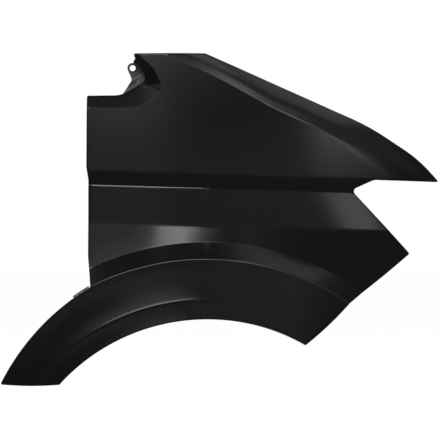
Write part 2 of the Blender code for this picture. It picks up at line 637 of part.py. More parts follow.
def field_points(ring):
    """Points inside the ring: the rows along the folds first, then an even field between them."""
    loop = np.array([tuple(p) for p in ring])
    ends = np.roll(loop, -1, axis=0)
    taken = []

    def inside(x, z):
        crosses = (loop[:, 1] > z) != (ends[:, 1] > z)
        with np.errstate(divide="ignore", invalid="ignore"):
            at = loop[:, 0] + (z - loop[:, 1]) * (ends[:, 0] - loop[:, 0]) / (ends[:, 1] - loop[:, 1])
        return bool(np.count_nonzero(crosses & (x < at)) % 2)

    def room(x, z):
        span = ends - loop
        share = ((x - loop[:, 0]) * span[:, 0] + (z - loop[:, 1]) * span[:, 1]) / (span ** 2).sum(axis=1)
        near = loop + span * np.clip(share, 0.0, 1.0)[:, None]
        return np.hypot(near[:, 0] - x, near[:, 1] - z).min()

    def offer(point, edge_room, clear):
        x, z = point
        if not inside(x, z) or room(x, z) < edge_room:
            return False
        if taken and clear > 0:
            others = np.array(taken)
            if np.hypot(others[:, 0] - x, others[:, 1] - z).min() < clear:
                return False
        return True

    for row in row_candidates():
        fresh = [tuple(p) for p in row if offer(p, FOLD_PITCH * 0.42, FOLD_PITCH * 0.231)]
        taken += fresh
    low, high = loop.min(axis=0), loop.max(axis=0)
    rise = FIELD_PITCH * 3 ** 0.5 / 2
    for j in range(ceil((high[1] - low[1]) / rise)):
        for i in range(ceil((high[0] - low[0]) / FIELD_PITCH)):
            place = (low[0] + (i + 0.5 * (j % 2)) * FIELD_PITCH, low[1] + j * rise)
            if offer(place, FIELD_PITCH * 0.5, FIELD_PITCH * 0.62):
                taken.append(place)
    return [Vector(p) for p in taken]


def press_skin(outline):
    """Open surface of the wing: the drawn skin, its bend all round, and the turned flanges."""
    places = ring_places(outline)
    edge = [outline.at(s) for s in places]
    inward = []
    for s in places:
        inward.append(outline.inward(s, PATH_STEP * 1.2))
    ring = [p + n * BEND_RADIUS for p, n in zip(edge, inward)]
    count = len(ring)
    field = field_points(ring)
    border = [(i, (i + 1) % count) for i in range(count)]
    verts, _, faces, *_ = delaunay_2d_cdt(ring + field, border, [], 1, 1e-7)
    flat = np.array([tuple(v) for v in verts])
    depth = skin_depth(flat[:, 0], flat[:, 1])
    points = [Vector((x, y, z)) for (x, z), y in zip(flat, depth)]
    faces = [list(face) for face in faces]

    def add_row(row):
        first = len(points)
        points.extend(row)
        return first

    rows = [0]
    bend, start, bank, shelf, end = [], [], [], [], []
    for s, p, n, inner in zip(places, edge, inward, points[:count]):
        width = outline.edge_value(s, "flange", RELIEF_FLANGE, RELIEF_LENGTH)
        gutter = outline.edge_value(s, "gutter", 0.0, 2 * RELIEF_LENGTH)
        y = depth_at(p)
        corner = Vector((p.x, y, p.y))
        turned = Vector((p.x, y + BEND_RADIUS, p.y))
        bend.append(inner * 0.25 + corner * 0.5 + turned * 0.25)
        start.append(turned)
        bank.append(Vector((p.x, y + BEND_RADIUS + width * 0.16, p.y)))
        moved = p + n * gutter
        shelf.append(Vector((moved.x, y + BEND_RADIUS + width * 0.30, moved.y)))
        end.append(Vector((moved.x, y + width, moved.y)))
    for row in (bend, start, bank, shelf, end):
        rows.append(add_row(row))
    for upper, lower in zip(rows, rows[1:]):
        for i in range(count):
            j = (i + 1) % count
            faces.append([upper + j, upper + i, lower + i, lower + j])
    return points, faces


def mesh_object(name, points, faces, material, collection):
    mesh = bpy.data.meshes.new(name)
    mesh.from_pydata(points, [], faces)
    mesh.update()
    mesh.materials.append(material)
    obj = bpy.data.objects.new(name, mesh)
    collection.objects.link(obj)
    return obj


def thicken(obj, thickness):
    """Gives an open surface its sheet thickness on the inner side."""
    solidify = obj.modifiers.new("sheet", "SOLIDIFY")
    solidify.thickness = thickness
    solidify.offset = -1.0
    solidify.use_even_offset = True
    solidify.use_quality_normals = True
    return solidify


def cut(obj, cutter):
    boolean = obj.modifiers.new("holes", "BOOLEAN")
    boolean.operation = "DIFFERENCE"
    boolean.solver = "EXACT"
    boolean.object = cutter
    return boolean


def add_punch(bm, centre, axis, along, radius, slot, depth):
    """One round or slotted punch in a cutter mesh, centred on the flange and square to it."""
    across = axis.cross(along).normalized()
    made = bmesh.ops.create_cone(
        bm, cap_ends=True, cap_tris=False, segments=16, radius1=radius, radius2=radius, depth=depth
    )
    for vert in made["verts"]:
        x, y, z = vert.co
        shift = slot / 2 if x > 1e-6 else -slot / 2 if x < -1e-6 else 0.0
        vert.co = centre + along * (x + shift) + across * y + axis * z


def flange_punch(bm, outline, name, share, radius, slot=0.0, inboard=0.62):
    """Punch through the flange of one edge, at a share of its length and of its width."""
    s = outline.along(name, share)
    part = next(part for part in outline.parts if part["name"] == name)
    p, n = outline.at(s), outline.inward(s)
    width, gutter = part["flange"], part.get("gutter", 0.0)
    y = depth_at(p) + width * inboard
    centre = Vector((p.x + n.x * gutter, y, p.y + n.y * gutter))
    axis = Vector((n.x, 0.0, n.y))
    add_punch(bm, centre, axis, axis.cross(Vector((0, 1, 0))), radius, slot, PUNCH_DEPTH)


def panel_cutter(outline, collection, material):
    """All bolt, screw and clip holes in the flanges."""
    bm = bmesh.new()
    flange_punch(bm, outline, "door_upper", 0.25, DOOR_HOLE_RADIUS)
    flange_punch(bm, outline, "door_upper", 0.85, DOOR_HOLE_RADIUS)
    flange_punch(bm, outline, "door_flat", 0.90, DOOR_HOLE_RADIUS)
    for i in range(BONNET_HOLE_COUNT):
        share = 0.30 + 0.60 * i / (BONNET_HOLE_COUNT - 1)
        flange_punch(bm, outline, "bonnet", share, BONNET_HOLE_RADIUS, BONNET_SLOT_LENGTH, 0.68)
    for i in range(LIP_HOLE_COUNT):
        share = 0.09 + 0.82 * i / (LIP_HOLE_COUNT - 1)
        flange_punch(bm, outline, "arch_lip", share, LIP_HOLE_RADIUS)
    for share in (0.28, 0.72):
        flange_punch(bm, outline, "bumper", share, FRONT_HOLE_RADIUS, BUMPER_SLOT_LENGTH)
    for share in (0.22, 0.70):
        flange_punch(bm, outline, "lamp_side", share, FRONT_HOLE_RADIUS)
    flange_punch(bm, outline, "tail_base", 0.5, FRONT_HOLE_RADIUS, TAIL_SLOT_LENGTH)
    return cutter_object("flange_holes", bm, collection, material)


def cutter_object(name, bm, collection, material):
    mesh = bpy.data.meshes.new(name)
    bm.to_mesh(mesh)
    bm.free()
    mesh.materials.append(material)
    obj = bpy.data.objects.new(name, mesh)
    obj.hide_render = True
    obj.display_type = "WIRE"
    collection.objects.link(obj)
    return obj


def cowl_bracket(outline, collection, cutters, material):
    """Bolt tab in the cut-out: a foot on the flange, a leaning web that runs on behind the skin, and
    a plate with a round tongue and one hole. Drawn along and across the straight weld edge."""
    first, last = outline.spans["cowl_weld"]
    start = outline.at(last)
    base = (outline.at(first) - start).normalized()
    up = Vector((-base.y, base.x))
    plate_y = depth_at(start) + COWL_PLATE_DEPTH

    def place(along, across, y):
        spot = start + base * along + up * across
        return Vector((spot.x, y, spot.y))

    stations = 5
    low, high = [], []
    for k in range(stations + 1):
        s = last + COWL_FOOT_WRAP + (first - last - COWL_FOOT_WRAP) * k / stations
        p = outline.at(s) - outline.inward(s) * WELD_GAP
        y = depth_at(outline.at(s))
        low.append(Vector((p.x, y + BEND_RADIUS + SHEET_THICKNESS, p.y)))
        high.append(Vector((p.x, y + COWL_FOOT_DEPTH, p.y)))
    high.append(place(COWL_WEB_ALONG, WELD_GAP, high[-1].y + COWL_BEND_RADIUS / 2))
    bend_run = COWL_SIDE_ALONG - COWL_BEND_START
    bend = [
        place(COWL_BEND_START + bend_run * k / (stations + 1), COWL_BEND_ACROSS, plate_y)
        for k in range(stations + 2)
    ]
    turn = [radians(64 + (179 - 64) * i / 9) for i in range(10)]
    plate = [place(COWL_SIDE_ALONG, COWL_SIDE_ACROSS, plate_y)]
    for a in turn:
        along = COWL_HOLE_ALONG + COWL_TONGUE_RADIUS * cos(a)
        plate.append(place(along, COWL_HOLE_ACROSS + COWL_TONGUE_RADIUS * sin(a), plate_y))
    plate.append(place(COWL_NECK_ALONG, COWL_NECK_ACROSS, plate_y))
    points = low + high + bend + plate
    at_high = len(low)
    at_bend = at_high + len(high)
    faces = [[k, k + 1, at_high + k + 1, at_high + k] for k in range(stations)]
    faces += [[at_high + k, at_high + k + 1, at_bend + k + 1, at_bend + k] for k in range(stations + 1)]
    faces.append(list(range(at_bend, len(points))))
    obj = mesh_object("cowl_bracket", points, faces, material, collection)
    turn_faces_inboard(obj)
    bevel = obj.modifiers.new("bends", "BEVEL")
    bevel.width = COWL_BEND_RADIUS
    bevel.segments = 2
    bevel.limit_method = "ANGLE"
    bevel.angle_limit = radians(25)
    thicken(obj, BRACKET_THICKNESS)
    bm = bmesh.new()
    hole = place(COWL_HOLE_ALONG, COWL_HOLE_ACROSS, plate_y)
    add_punch(bm, hole, Vector((0, 1, 0)), Vector((1, 0, 0)), COWL_HOLE_RADIUS, 0.0, PUNCH_DEPTH)
    cut(obj, cutter_object("cowl_hole", bm, cutters, material))
    return obj


def turn_faces_inboard(obj):
    """Makes the faces of an open bracket surface look inboard, so that its sheet builds outboard."""
    bm = bmesh.new()
    bm.from_mesh(obj.data)
    bmesh.ops.recalc_face_normals(bm, faces=bm.faces)
    if sum(face.normal.y * face.calc_area() for face in bm.faces) < 0:
        bmesh.ops.reverse_faces(bm, faces=bm.faces)
    bm.to_mesh(obj.data)
    bm.free()


def sill_bracket(outline, collection, cutters, material):
    """Angle on the tail's back flange: foot on the flange, a riser that shows above the tail's edge,
    and a bolt shelf turned inboard behind it."""
    first, _ = outline.spans["tail_back"]
    start = first + SILL_BRACKET_INSET
    stations = 4
    points, faces = [], []
    for k in range(stations + 1):
        s = start + SILL_BRACKET_LENGTH * k / stations
        p, n = outline.at(s), outline.inward(s)
        seat_y = depth_at(p)
        foot = p - n * (WELD_GAP + BRACKET_THICKNESS)
        shelf = p - n * (SILL_RISE + BRACKET_THICKNESS)
        for place, y in (
            (foot, seat_y + BEND_RADIUS + BRACKET_THICKNESS),
            (foot, seat_y + SILL_FOOT_DEPTH),
            (shelf, seat_y + SILL_FOOT_DEPTH),
            (shelf, seat_y + SILL_FOOT_DEPTH + SILL_SHELF_DEPTH),
        ):
            points.append(Vector((place.x, y, place.y)))
    for k in range(stations):
        for i in range(3):
            a, b = 4 * k + i, 4 * (k + 1) + i
            faces.append([a, a + 1, b + 1, b])
    obj = mesh_object("sill_bracket", points, faces, material, collection)
    bm = bmesh.new()
    bm.from_mesh(obj.data)
    bmesh.ops.recalc_face_normals(bm, faces=bm.faces)
    n = outline.inward(start + SILL_BRACKET_LENGTH / 2)
    away = Vector((-n.x, 0.0, -n.y))
    if sum(face.normal.dot(away) * face.calc_area() for face in bm.faces) < 0:
        bmesh.ops.reverse_faces(bm, faces=bm.faces)
    bm.to_mesh(obj.data)
    bm.free()
    thicken(obj, BRACKET_THICKNESS)
    middle = start + SILL_BRACKET_LENGTH / 2
    p, n = outline.at(middle), outline.inward(middle)
    place = p - n * SILL_RISE
    y = depth_at(p) + SILL_FOOT_DEPTH + SILL_SHELF_DEPTH * 0.58
    bm = bmesh.new()
    axis = Vector((n.x, 0.0, n.y))
    centre = Vector((place.x, y, place.y))
    add_punch(bm, centre, axis, axis.cross(Vector((0, 1, 0))), SILL_HOLE_RADIUS, 0.0, PUNCH_DEPTH)
    cut(obj, cutter_object("sill_hole", bm, cutters, material))
    return obj


def fender_panel(outline, collection, cutters, material):
    points, faces = press_skin(outline)
    obj = mesh_object("fender_panel", points, faces, material, collection)
    obj.data.shade_smooth()
    thicken(obj, SHEET_THICKNESS)
    cut(obj, panel_cutter(outline, cutters, material))
    return obj


def paint(name, colour, roughness, metallic):
    material = bpy.data.materials.new(name)
    material.use_nodes = True
    shader = material.node_tree.nodes["Principled BSDF"]
    shader.inputs["Base Color"].default_value = (*colour, 1.0)
    shader.inputs["Roughness"].default_value = roughness
    shader.inputs["Metallic"].default_value = metallic
    return material


def new_collection(name):
    collection = bpy.data.collections.new(name)
    bpy.context.scene.collection.children.link(collection)
    return collection


def main():
    for obj in list(bpy.data.objects):
        bpy.data.objects.remove(obj)
    wing = new_collection("van_fender")
    cutters = new_collection("cutters")
    primer = paint("black_primer", (0.012, 0.013, 0.013), 0.35, 0.0)
    zinc = paint("zinc_steel", (0.42, 0.43, 0.44), 0.45, 0.9)
    outline = wing_outline()
    pieces = [
        fender_panel(outline, wing, cutters, primer),
        cowl_bracket(outline, wing, cutters, zinc),
        sill_bracket(outline, wing, cutters, zinc),
    ]
    datum = Vector((0.0, depth_at((0.0, -DATUM_DROP)) + DOOR_FLANGE / 2, -DATUM_DROP))
    for obj in pieces + list(cutters.objects):
        obj.location = -datum
    return pieces


RECESS_LINE = recess_boundary()

if __name__ == "__main__":
    main()
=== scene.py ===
# Right-hand front wing of a van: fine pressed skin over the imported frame, zinc brackets,
# black dip primer, and the pale studio it hangs in.
import bpy
import bmesh
import numpy as np
from math import ceil, cos, pi, radians, sin, tan
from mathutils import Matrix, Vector
from mathutils.geometry import delaunay_2d_cdt
from mathutils.kdtree import KDTree


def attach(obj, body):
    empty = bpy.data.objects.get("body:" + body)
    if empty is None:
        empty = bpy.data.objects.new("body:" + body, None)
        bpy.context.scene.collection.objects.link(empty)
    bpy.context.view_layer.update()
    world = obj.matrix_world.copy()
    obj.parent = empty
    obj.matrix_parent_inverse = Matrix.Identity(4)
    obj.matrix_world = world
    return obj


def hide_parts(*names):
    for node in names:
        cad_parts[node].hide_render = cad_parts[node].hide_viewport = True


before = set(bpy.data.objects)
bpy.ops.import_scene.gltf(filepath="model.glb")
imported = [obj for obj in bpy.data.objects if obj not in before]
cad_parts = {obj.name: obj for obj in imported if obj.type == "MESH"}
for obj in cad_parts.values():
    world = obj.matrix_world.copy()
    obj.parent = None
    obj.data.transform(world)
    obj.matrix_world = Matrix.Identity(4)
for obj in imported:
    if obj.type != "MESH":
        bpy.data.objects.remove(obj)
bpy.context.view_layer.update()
print("frame loaded:", sorted(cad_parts))

# Shapes are drawn with x from the door edge and z from the waist ledge, then moved to the frame's origin.
# A run is a pair of places or sizes between which one value fades into the next.


def ramp(t, soft):  # a fold: flat, then rising, with a round bend between
    return np.where(t <= -soft, 0.0, np.where(t >= soft, t, (t + soft) ** 2 / (4 * soft)))


def fade(run, value):
    u = np.clip((value - run[0]) / (run[1] - run[0]), 0.0, 1.0)
    return u * u * (3 - 2 * u)


bonnet = {
    "topX": 0.2445, "topZ": 0.2785, "fall": 0.431, "bendX": 0.597, "bendSoft": 0.040, "fallFront": 0.63,
    "noseX": 0.709, "noseSoft": 0.030, "fallNose": 1.06, "tipX": 0.7555,
}


def bonnetLine(x):
    level = bonnet["topZ"] - bonnet["fall"] * (x - bonnet["topX"])
    first = (bonnet["fallFront"] - bonnet["fall"]) * ramp(x - bonnet["bendX"], bonnet["bendSoft"])
    nose = (bonnet["fallNose"] - bonnet["fallFront"]) * ramp(x - bonnet["noseX"], bonnet["noseSoft"])
    return level - first - nose


arch = {
    "x": 0.247, "z": -0.691, "radius": 0.4097, "lip": 0.0413, "face": 0.0835, "slope": 0.0355,
    "endAngle": 59.4, "cornerAngle": 55.3, "topBend": 0.0003, "creaseBend": 0.0016,
    "outRear": 0.042, "outFront": 0.027, "outRun": (0.25, 0.58), "plainSlope": 0.07,
    "scoop": 0.0098, "entry": 0.05, "scoopEnd": (0.20, 0.33), "tailScoop": 0.35, "tailRun": (-0.14, -0.03),
    "lipCurl": 0.14, "lipRise": 0.035,
    "beadHeight": 0.0004, "beadWidth": 0.0022, "beadStart": (-0.06, 0.05), "beadEnd": (0.14, 0.26),
}
ridgeRadius = arch["radius"] + arch["lip"]
creaseRadius = ridgeRadius + arch["face"]
topRadius = creaseRadius + arch["slope"]


def archReach(x, z):
    return np.hypot(x - arch["x"], z - arch["z"])


side = {
    "waistFall": 0.030, "ridge": 0.029, "crease": 0.079, "waistSoft": 0.0012, "foldSoft": 0.004,
    "bandSlope": 0.25, "sideSlope": 0.07, "crown": 0.47, "coveWidth": 0.040, "coveRadius": 0.39,
    "middleRear": 0.02, "middleFront": 0.21, "middleRun": (0.38, 0.62),
    "lowerTail": 0.15, "lowerRear": 0.325, "lowerFront": -0.14, "tailRun": (0.085, 0.165), "lowerRun": (0.19, 0.47),
    "planDepth": 0.200, "planLength": 0.750, "planPower": 2.6,
}
ledge = {
    "start": 0.0003, "depth": 0.0035, "depthRun": (0.17, 0.31), "cutOff": (0.0010, 0.0017),
    "lip": 0.0026, "lipLoss": 0.0015, "lipRun": (0.12, 0.24), "lipEnd": (0.245, 0.250), "lipSlope": 0.36,
    "steepness": 1.3, "leastFall": 0.00105,
}


def waistHeight(x, z):
    return z + side["waistFall"] * x


def planDepth(x):
    return side["planDepth"] * (np.maximum(x, 0.0) / side["planLength"]) ** side["planPower"]


def ledgeLevels(x):  # how far below the waist the ledge starts, breaks and ends, and its depth
    start, step = ledge["start"], ledge["depth"] * (1 - fade(ledge["depthRun"], x))
    step = step * fade(ledge["cutOff"], step)
    lip = start + (ledge["lip"] - ledge["lipLoss"] * fade(ledge["lipRun"], x)) * (1 - fade(ledge["lipEnd"], x))
    fall = np.maximum((step - ledge["lipSlope"] * (lip - start)) / ledge["steepness"], ledge["leastFall"])
    return start, lip, lip + fall, step


def ledgeDepth(x, height):
    start, lip, end, step = ledgeLevels(x)
    under = np.maximum(-height - start, 0.0)
    slope = (step - ledge["lipSlope"] * (lip - start)) / (end - lip)
    lipPart = ledge["lipSlope"] * np.minimum(under, lip - start)
    return np.minimum(lipPart + slope * np.maximum(under - lip + start, 0.0), step)


def sideDepth(x, z):
    height, soft = waistHeight(x, z), side["foldSoft"]
    band, lean = side["bandSlope"], side["sideSlope"]
    upper = -band * ramp(height, side["waistSoft"]) + (band + lean) * ramp(height - side["ridge"], soft)
    upper = upper + side["crown"] / 2 * np.maximum(height - side["ridge"], 0.0) ** 2
    middle = side["middleRear"] + (side["middleFront"] - side["middleRear"]) * fade(side["middleRun"], x)
    lower = side["lowerTail"] + (side["lowerRear"] - side["lowerTail"]) * fade(side["tailRun"], x)
    lower = lower + (side["lowerFront"] - side["lowerRear"]) * fade(side["lowerRun"], x)
    away = np.maximum(archReach(x, z) - topRadius, 0.0)
    cove = np.maximum(side["coveWidth"] - away, 0.0) ** 2 / (2 * side["coveRadius"])
    upper = upper - cove * (1 - fade(side["tailRun"], x)) - ledgeDepth(x, height)
    return upper - middle * ramp(-height, side["waistSoft"]) - (lower - middle) * ramp(-height - side["crease"], soft)


shoulder = {
    "dropRear": 0.040, "dropFront": 0.055, "slopeRear": 0.28, "slopeFront": 0.36,
    "rollRear": 0.026, "rollFront": 0.040, "radiusRear": 0.070, "radiusFront": 0.050, "run": (0.23, 0.42),
    "soft": 0.0003, "softFront": 0.0030, "softRun": (0.36, 0.47), "crispTo": 0.37,
    "meltRun": (0.50, 0.61), "meltSoft": 0.030, "meltSlope": 0.22, "meltRoll": 0.7,
}


def onShoulder(name, x):  # a size that runs from its rear to its front value
    rear, front = shoulder[name + "Rear"], shoulder[name + "Front"]
    return rear + (front - rear) * fade(shoulder["run"], x)


def shoulderLine(x):
    return bonnetLine(x) - onShoulder("drop", x)


def shoulderDepth(x, z):  # crease under the bonnet's edge, crisp at the rear, melting away in front
    melt = fade(shoulder["meltRun"], x)
    soft = shoulder["soft"] + shoulder["softFront"] * fade(shoulder["softRun"], x) + shoulder["meltSoft"] * melt
    crease = onShoulder("slope", x) * (1 - shoulder["meltSlope"] * melt) * ramp(z - shoulderLine(x), soft)
    roll = np.maximum(z - bonnetLine(x) + onShoulder("roll", x), 0.0) ** 2
    return crease + roll / (2 * onShoulder("radius", x)) * (1 - shoulder["meltRoll"] * melt)


def flareDepth(x, z):  # scooped outer face, second ridge and lip
    reach = archReach(x, z)
    inward = np.maximum(creaseRadius - reach, 0.0)
    plain = arch["plainSlope"] * inward
    across = np.clip(inward / arch["face"], 0.0, 1.0)
    entry = arch["entry"] * arch["face"]
    scoop = (arch["scoop"] + entry) * across ** 2 - entry * across
    lip = np.clip((ridgeRadius - reach) / arch["lip"], 0.0, 1.0)
    scoop = scoop + (arch["lipCurl"] * lip ** 2 - arch["lipRise"] * lip) * arch["lip"]
    tail = arch["tailScoop"] + (1 - arch["tailScoop"]) * fade(arch["tailRun"], x)
    strength = (1 - fade(arch["scoopEnd"], x)) * tail
    out = arch["outRear"] + (arch["outFront"] - arch["outRear"]) * fade(arch["outRun"], x)
    bead = arch["beadHeight"] * np.exp(-((reach - ridgeRadius) / arch["beadWidth"]) ** 2)
    bead = bead * fade(arch["beadStart"], x) * (1 - fade(arch["beadEnd"], x))
    return planDepth(x) - out - plain - (scoop - plain) * strength - bead


sheet = {
    "thickness": 0.0008, "bend": 0.0018, "corner": 0.0033, "sharpAngle": 34, "pathStep": 0.0004, "bonnetPoints": 1500,
    "edgePitch": 0.0030, "turnPitch": 0.0024, "leastTurn": 0.0008, "closest": 0.00025,
    "rowPitch": 0.0036, "rowClear": 0.00098, "rowEdgeShare": 0.62, "rowBreak": 1.6,
    "gridPitch": 0.0046, "gridShare": 0.60, "gridEdgeShare": 0.9, "cell": 0.003, "onFold": 0.0002,
    "bendSteps": (0.22, 0.42, 0.60, 0.80, 1.0), "gutterRun": (0.12, 0.30),
    "wallSteps": (0.10, 0.15, 0.19, 0.23, 0.27, 0.32, 0.60, 1.0),
}


def straight(start, end):
    start, end = np.array(start, float), np.array(end, float)
    steps = max(4, ceil(np.hypot(*(end - start)) / sheet["pathStep"]))
    return start + (end - start) * np.linspace(0, 1, steps + 1)[:, None]


def arcEdge(centre, radius, start, end):
    steps = max(4, ceil(abs(end - start) * radius / sheet["pathStep"]))
    a = np.linspace(start, end, steps + 1)
    return np.array(centre) + radius * np.c_[np.cos(a), np.sin(a)]


def bowed(start, end, bow):  # bows to the left of start to end by bow metres
    start, end = np.array(start, float), np.array(end, float)
    chord = end - start
    length = np.hypot(*chord)
    left = np.array([-chord[1], chord[0]]) / length
    radius = (length ** 2 / 4 + bow * bow) / (2 * abs(bow))
    centre = (start + end) / 2 + left * (bow - np.sign(bow) * radius)
    first = np.arctan2(*(start - centre)[::-1])
    last = np.arctan2(*(end - centre)[::-1])
    return arcEdge(centre, radius, first, first + (last - first + pi) % (2 * pi) - pi)


def joinEdges(edges, radii, closed):  # rounds every corner, or as much as short edges leave room for
    nearlyStraight, usable = 1.55, 0.97  # half angle that needs no arc, and the share of an edge that arcs may take
    count = len(edges)
    last = count if closed else count - 1
    cuts, halves = np.zeros(count), np.zeros(count)
    backs, aheads = [None] * count, [None] * count
    for i in range(last):
        before, after = edges[i], edges[(i + 1) % count]
        back, ahead = before[-4] - before[-1], after[3] - after[0]
        backs[i], aheads[i] = back / np.hypot(*back), ahead / np.hypot(*ahead)
        halves[i] = np.arccos(np.clip(backs[i] @ aheads[i], -1, 1)) / 2
        if radii[i] > 0 and halves[i] < nearlyStraight:
            cuts[i] = radii[i] / tan(halves[i])
    fits = [
        min(1.0, usable * np.hypot(*(e[-1] - e[0])) / max(cuts[i - 1] + cuts[i], 1e-9)) for i, e in enumerate(edges)
    ]
    trimmed, arcs = list(edges), [None] * count
    for i in range(last):
        cut = cuts[i] * min(fits[i], fits[(i + 1) % count])
        if cut <= 0:
            continue
        corner, radius = edges[i][-1], cut * tan(halves[i])
        clear = cut + sheet["pathStep"] * 0.3  # keeps the arc's ends off the edge's own points
        for k in (i, (i + 1) % count):
            away = np.hypot(*(trimmed[k] - corner).T)
            trimmed[k] = trimmed[k][away >= clear]
        bisector = backs[i] + aheads[i]
        centre = corner + bisector / np.hypot(*bisector) * radius / sin(halves[i])
        first = np.arctan2(*(corner + backs[i] * cut - centre)[::-1])
        end = np.arctan2(*(corner + aheads[i] * cut - centre)[::-1])
        sweep = (end - first + pi) % (2 * pi) - pi
        arcs[i] = arcEdge(centre, radius, first, first + sweep)
    points, spans, total = [], [], 0
    for i in range(count):
        run = trimmed[i] if arcs[i] is not None or i == count - 1 and not closed else trimmed[i][:-1]
        points.append(run)
        spans.append((total, total + len(run) - 1))
        total += len(run)
        if arcs[i] is not None:
            points.append(arcs[i])
            total += len(arcs[i])
    return np.concatenate(points), spans


recess = {  # the band pressed in round the cowl cut-out: x, z and corner radius of its line
    "corners": [(0.118, 0.161, 0.095), (0.1565, 0.2040, 0.022), (0.1345, 0.2475, 0.040), (0.1005, 0.2766, 0.0)],
    "startX": -0.30, "beyond": (-0.07, 0.08), "slope": 0.40, "soft": 0.0003, "maxX": 0.22, "minZ": 0.12,
}


def makeRecessLine():
    corners = recess["corners"]
    stops = [(recess["startX"], corners[0][1])] + [c[:2] for c in corners]
    stops.append((corners[-1][0] + recess["beyond"][0], corners[-1][1] + recess["beyond"][1]))
    edges = [straight(a, b) for a, b in zip(stops[:-1], stops[1:])]
    points, _ = joinEdges(edges, [c[2] for c in corners] + [0.0], closed=False)
    return points[::8]  # coarser, for the distances measured from it


recessLine = makeRecessLine()


def beyondLine(line, x, z):  # signed distance from an open line, positive on its left
    best, signed = np.full(x.shape, 1e9), np.zeros(x.shape)
    for (x0, z0), (x1, z1) in zip(line[:-1], line[1:]):
        length = np.hypot(x1 - x0, z1 - z0)
        ux, uz = (x1 - x0) / length, (z1 - z0) / length
        along = np.clip((x - x0) * ux + (z - z0) * uz, 0.0, length)
        away = np.hypot(x - x0 - along * ux, z - z0 - along * uz)
        left = np.where(ux * (z - z0) - uz * (x - x0) >= 0, 1.0, -1.0)
        nearer = away < best
        best, signed = np.where(nearer, away, best), np.where(nearer, left * away, signed)
    return signed


def recessReach(x, z):  # how far inside the recessed band, well below zero away from it
    reach = np.full(x.shape, -1.0)
    near = (x < recess["maxX"]) & (z > recess["minZ"])
    if near.any():
        reach[near] = beyondLine(recessLine, x[near], z[near])
    return reach


def skinDepth(x, z):
    x, z = np.atleast_1d(np.asarray(x, float)), np.atleast_1d(np.asarray(z, float))
    reach = archReach(x, z)
    outward = np.maximum(topRadius / np.maximum(reach, 0.01), 1.0)  # keeps the flare's top slope straight
    topX, topZ = arch["x"] + (x - arch["x"]) * outward, arch["z"] + (z - arch["z"]) * outward
    body = planDepth(x) + sideDepth(topX, topZ) + shoulderDepth(topX, topZ)
    body = body + recess["slope"] * ramp(recessReach(x, z), recess["soft"])
    rise = ramp(topRadius - reach, arch["topBend"]) - ramp(creaseRadius - reach, arch["creaseBend"])
    share = rise / arch["slope"]
    return body * (1 - share) + flareDepth(x, z) * share


flangeWidth = {
    "door": 0.022, "tail": 0.014, "tailBase": 0.018, "lip": 0.017, "flareEnd": 0.014, "bumper": 0.018,
    "lamp": 0.015, "notch": 0.012, "bonnet": 0.030, "top": 0.016, "cowl": 0.0065, "relief": 0.005,
    "reliefLength": 0.014, "gutter": 0.0045,
}
trim = {  # corners of the trimmed edge, how far its long edges bow, and the rounding of its open corners
    "top": (-0.004, 0.187), "jogHigh": (-0.004, 0.036), "jogLow": (0.0, 0.010), "flatEnd": (0.0, -0.150),
    "footX": 0.0062, "tail": (-0.181, -0.4165), "front": (0.685, -0.147), "notchFoot": (0.5562, -0.0107),
    "notchBreak": (0.606, 0.0112), "notchTipZ": 0.0078, "topRear": (0.093, 0.2766), "shoulder": (0.0972, 0.2662),
    "ear": (0.0920, 0.2572), "brow": (0.1030, 0.2530), "hook": (0.125, 0.2215), "floor": (0.0665, 0.188),
    "tailBow": -0.0198, "baseBow": -0.0028, "flareBow": -0.003, "bumperBow": -0.0015,
    "lampRadius": 0.008, "notchRadius": 0.025, "bonnetRadius": 0.012, "riseRadius": 0.004, "earRadius": 0.0028,
    "browRadius": 0.006, "hookRadius": 0.016, "floorRadius": 0.048,
}


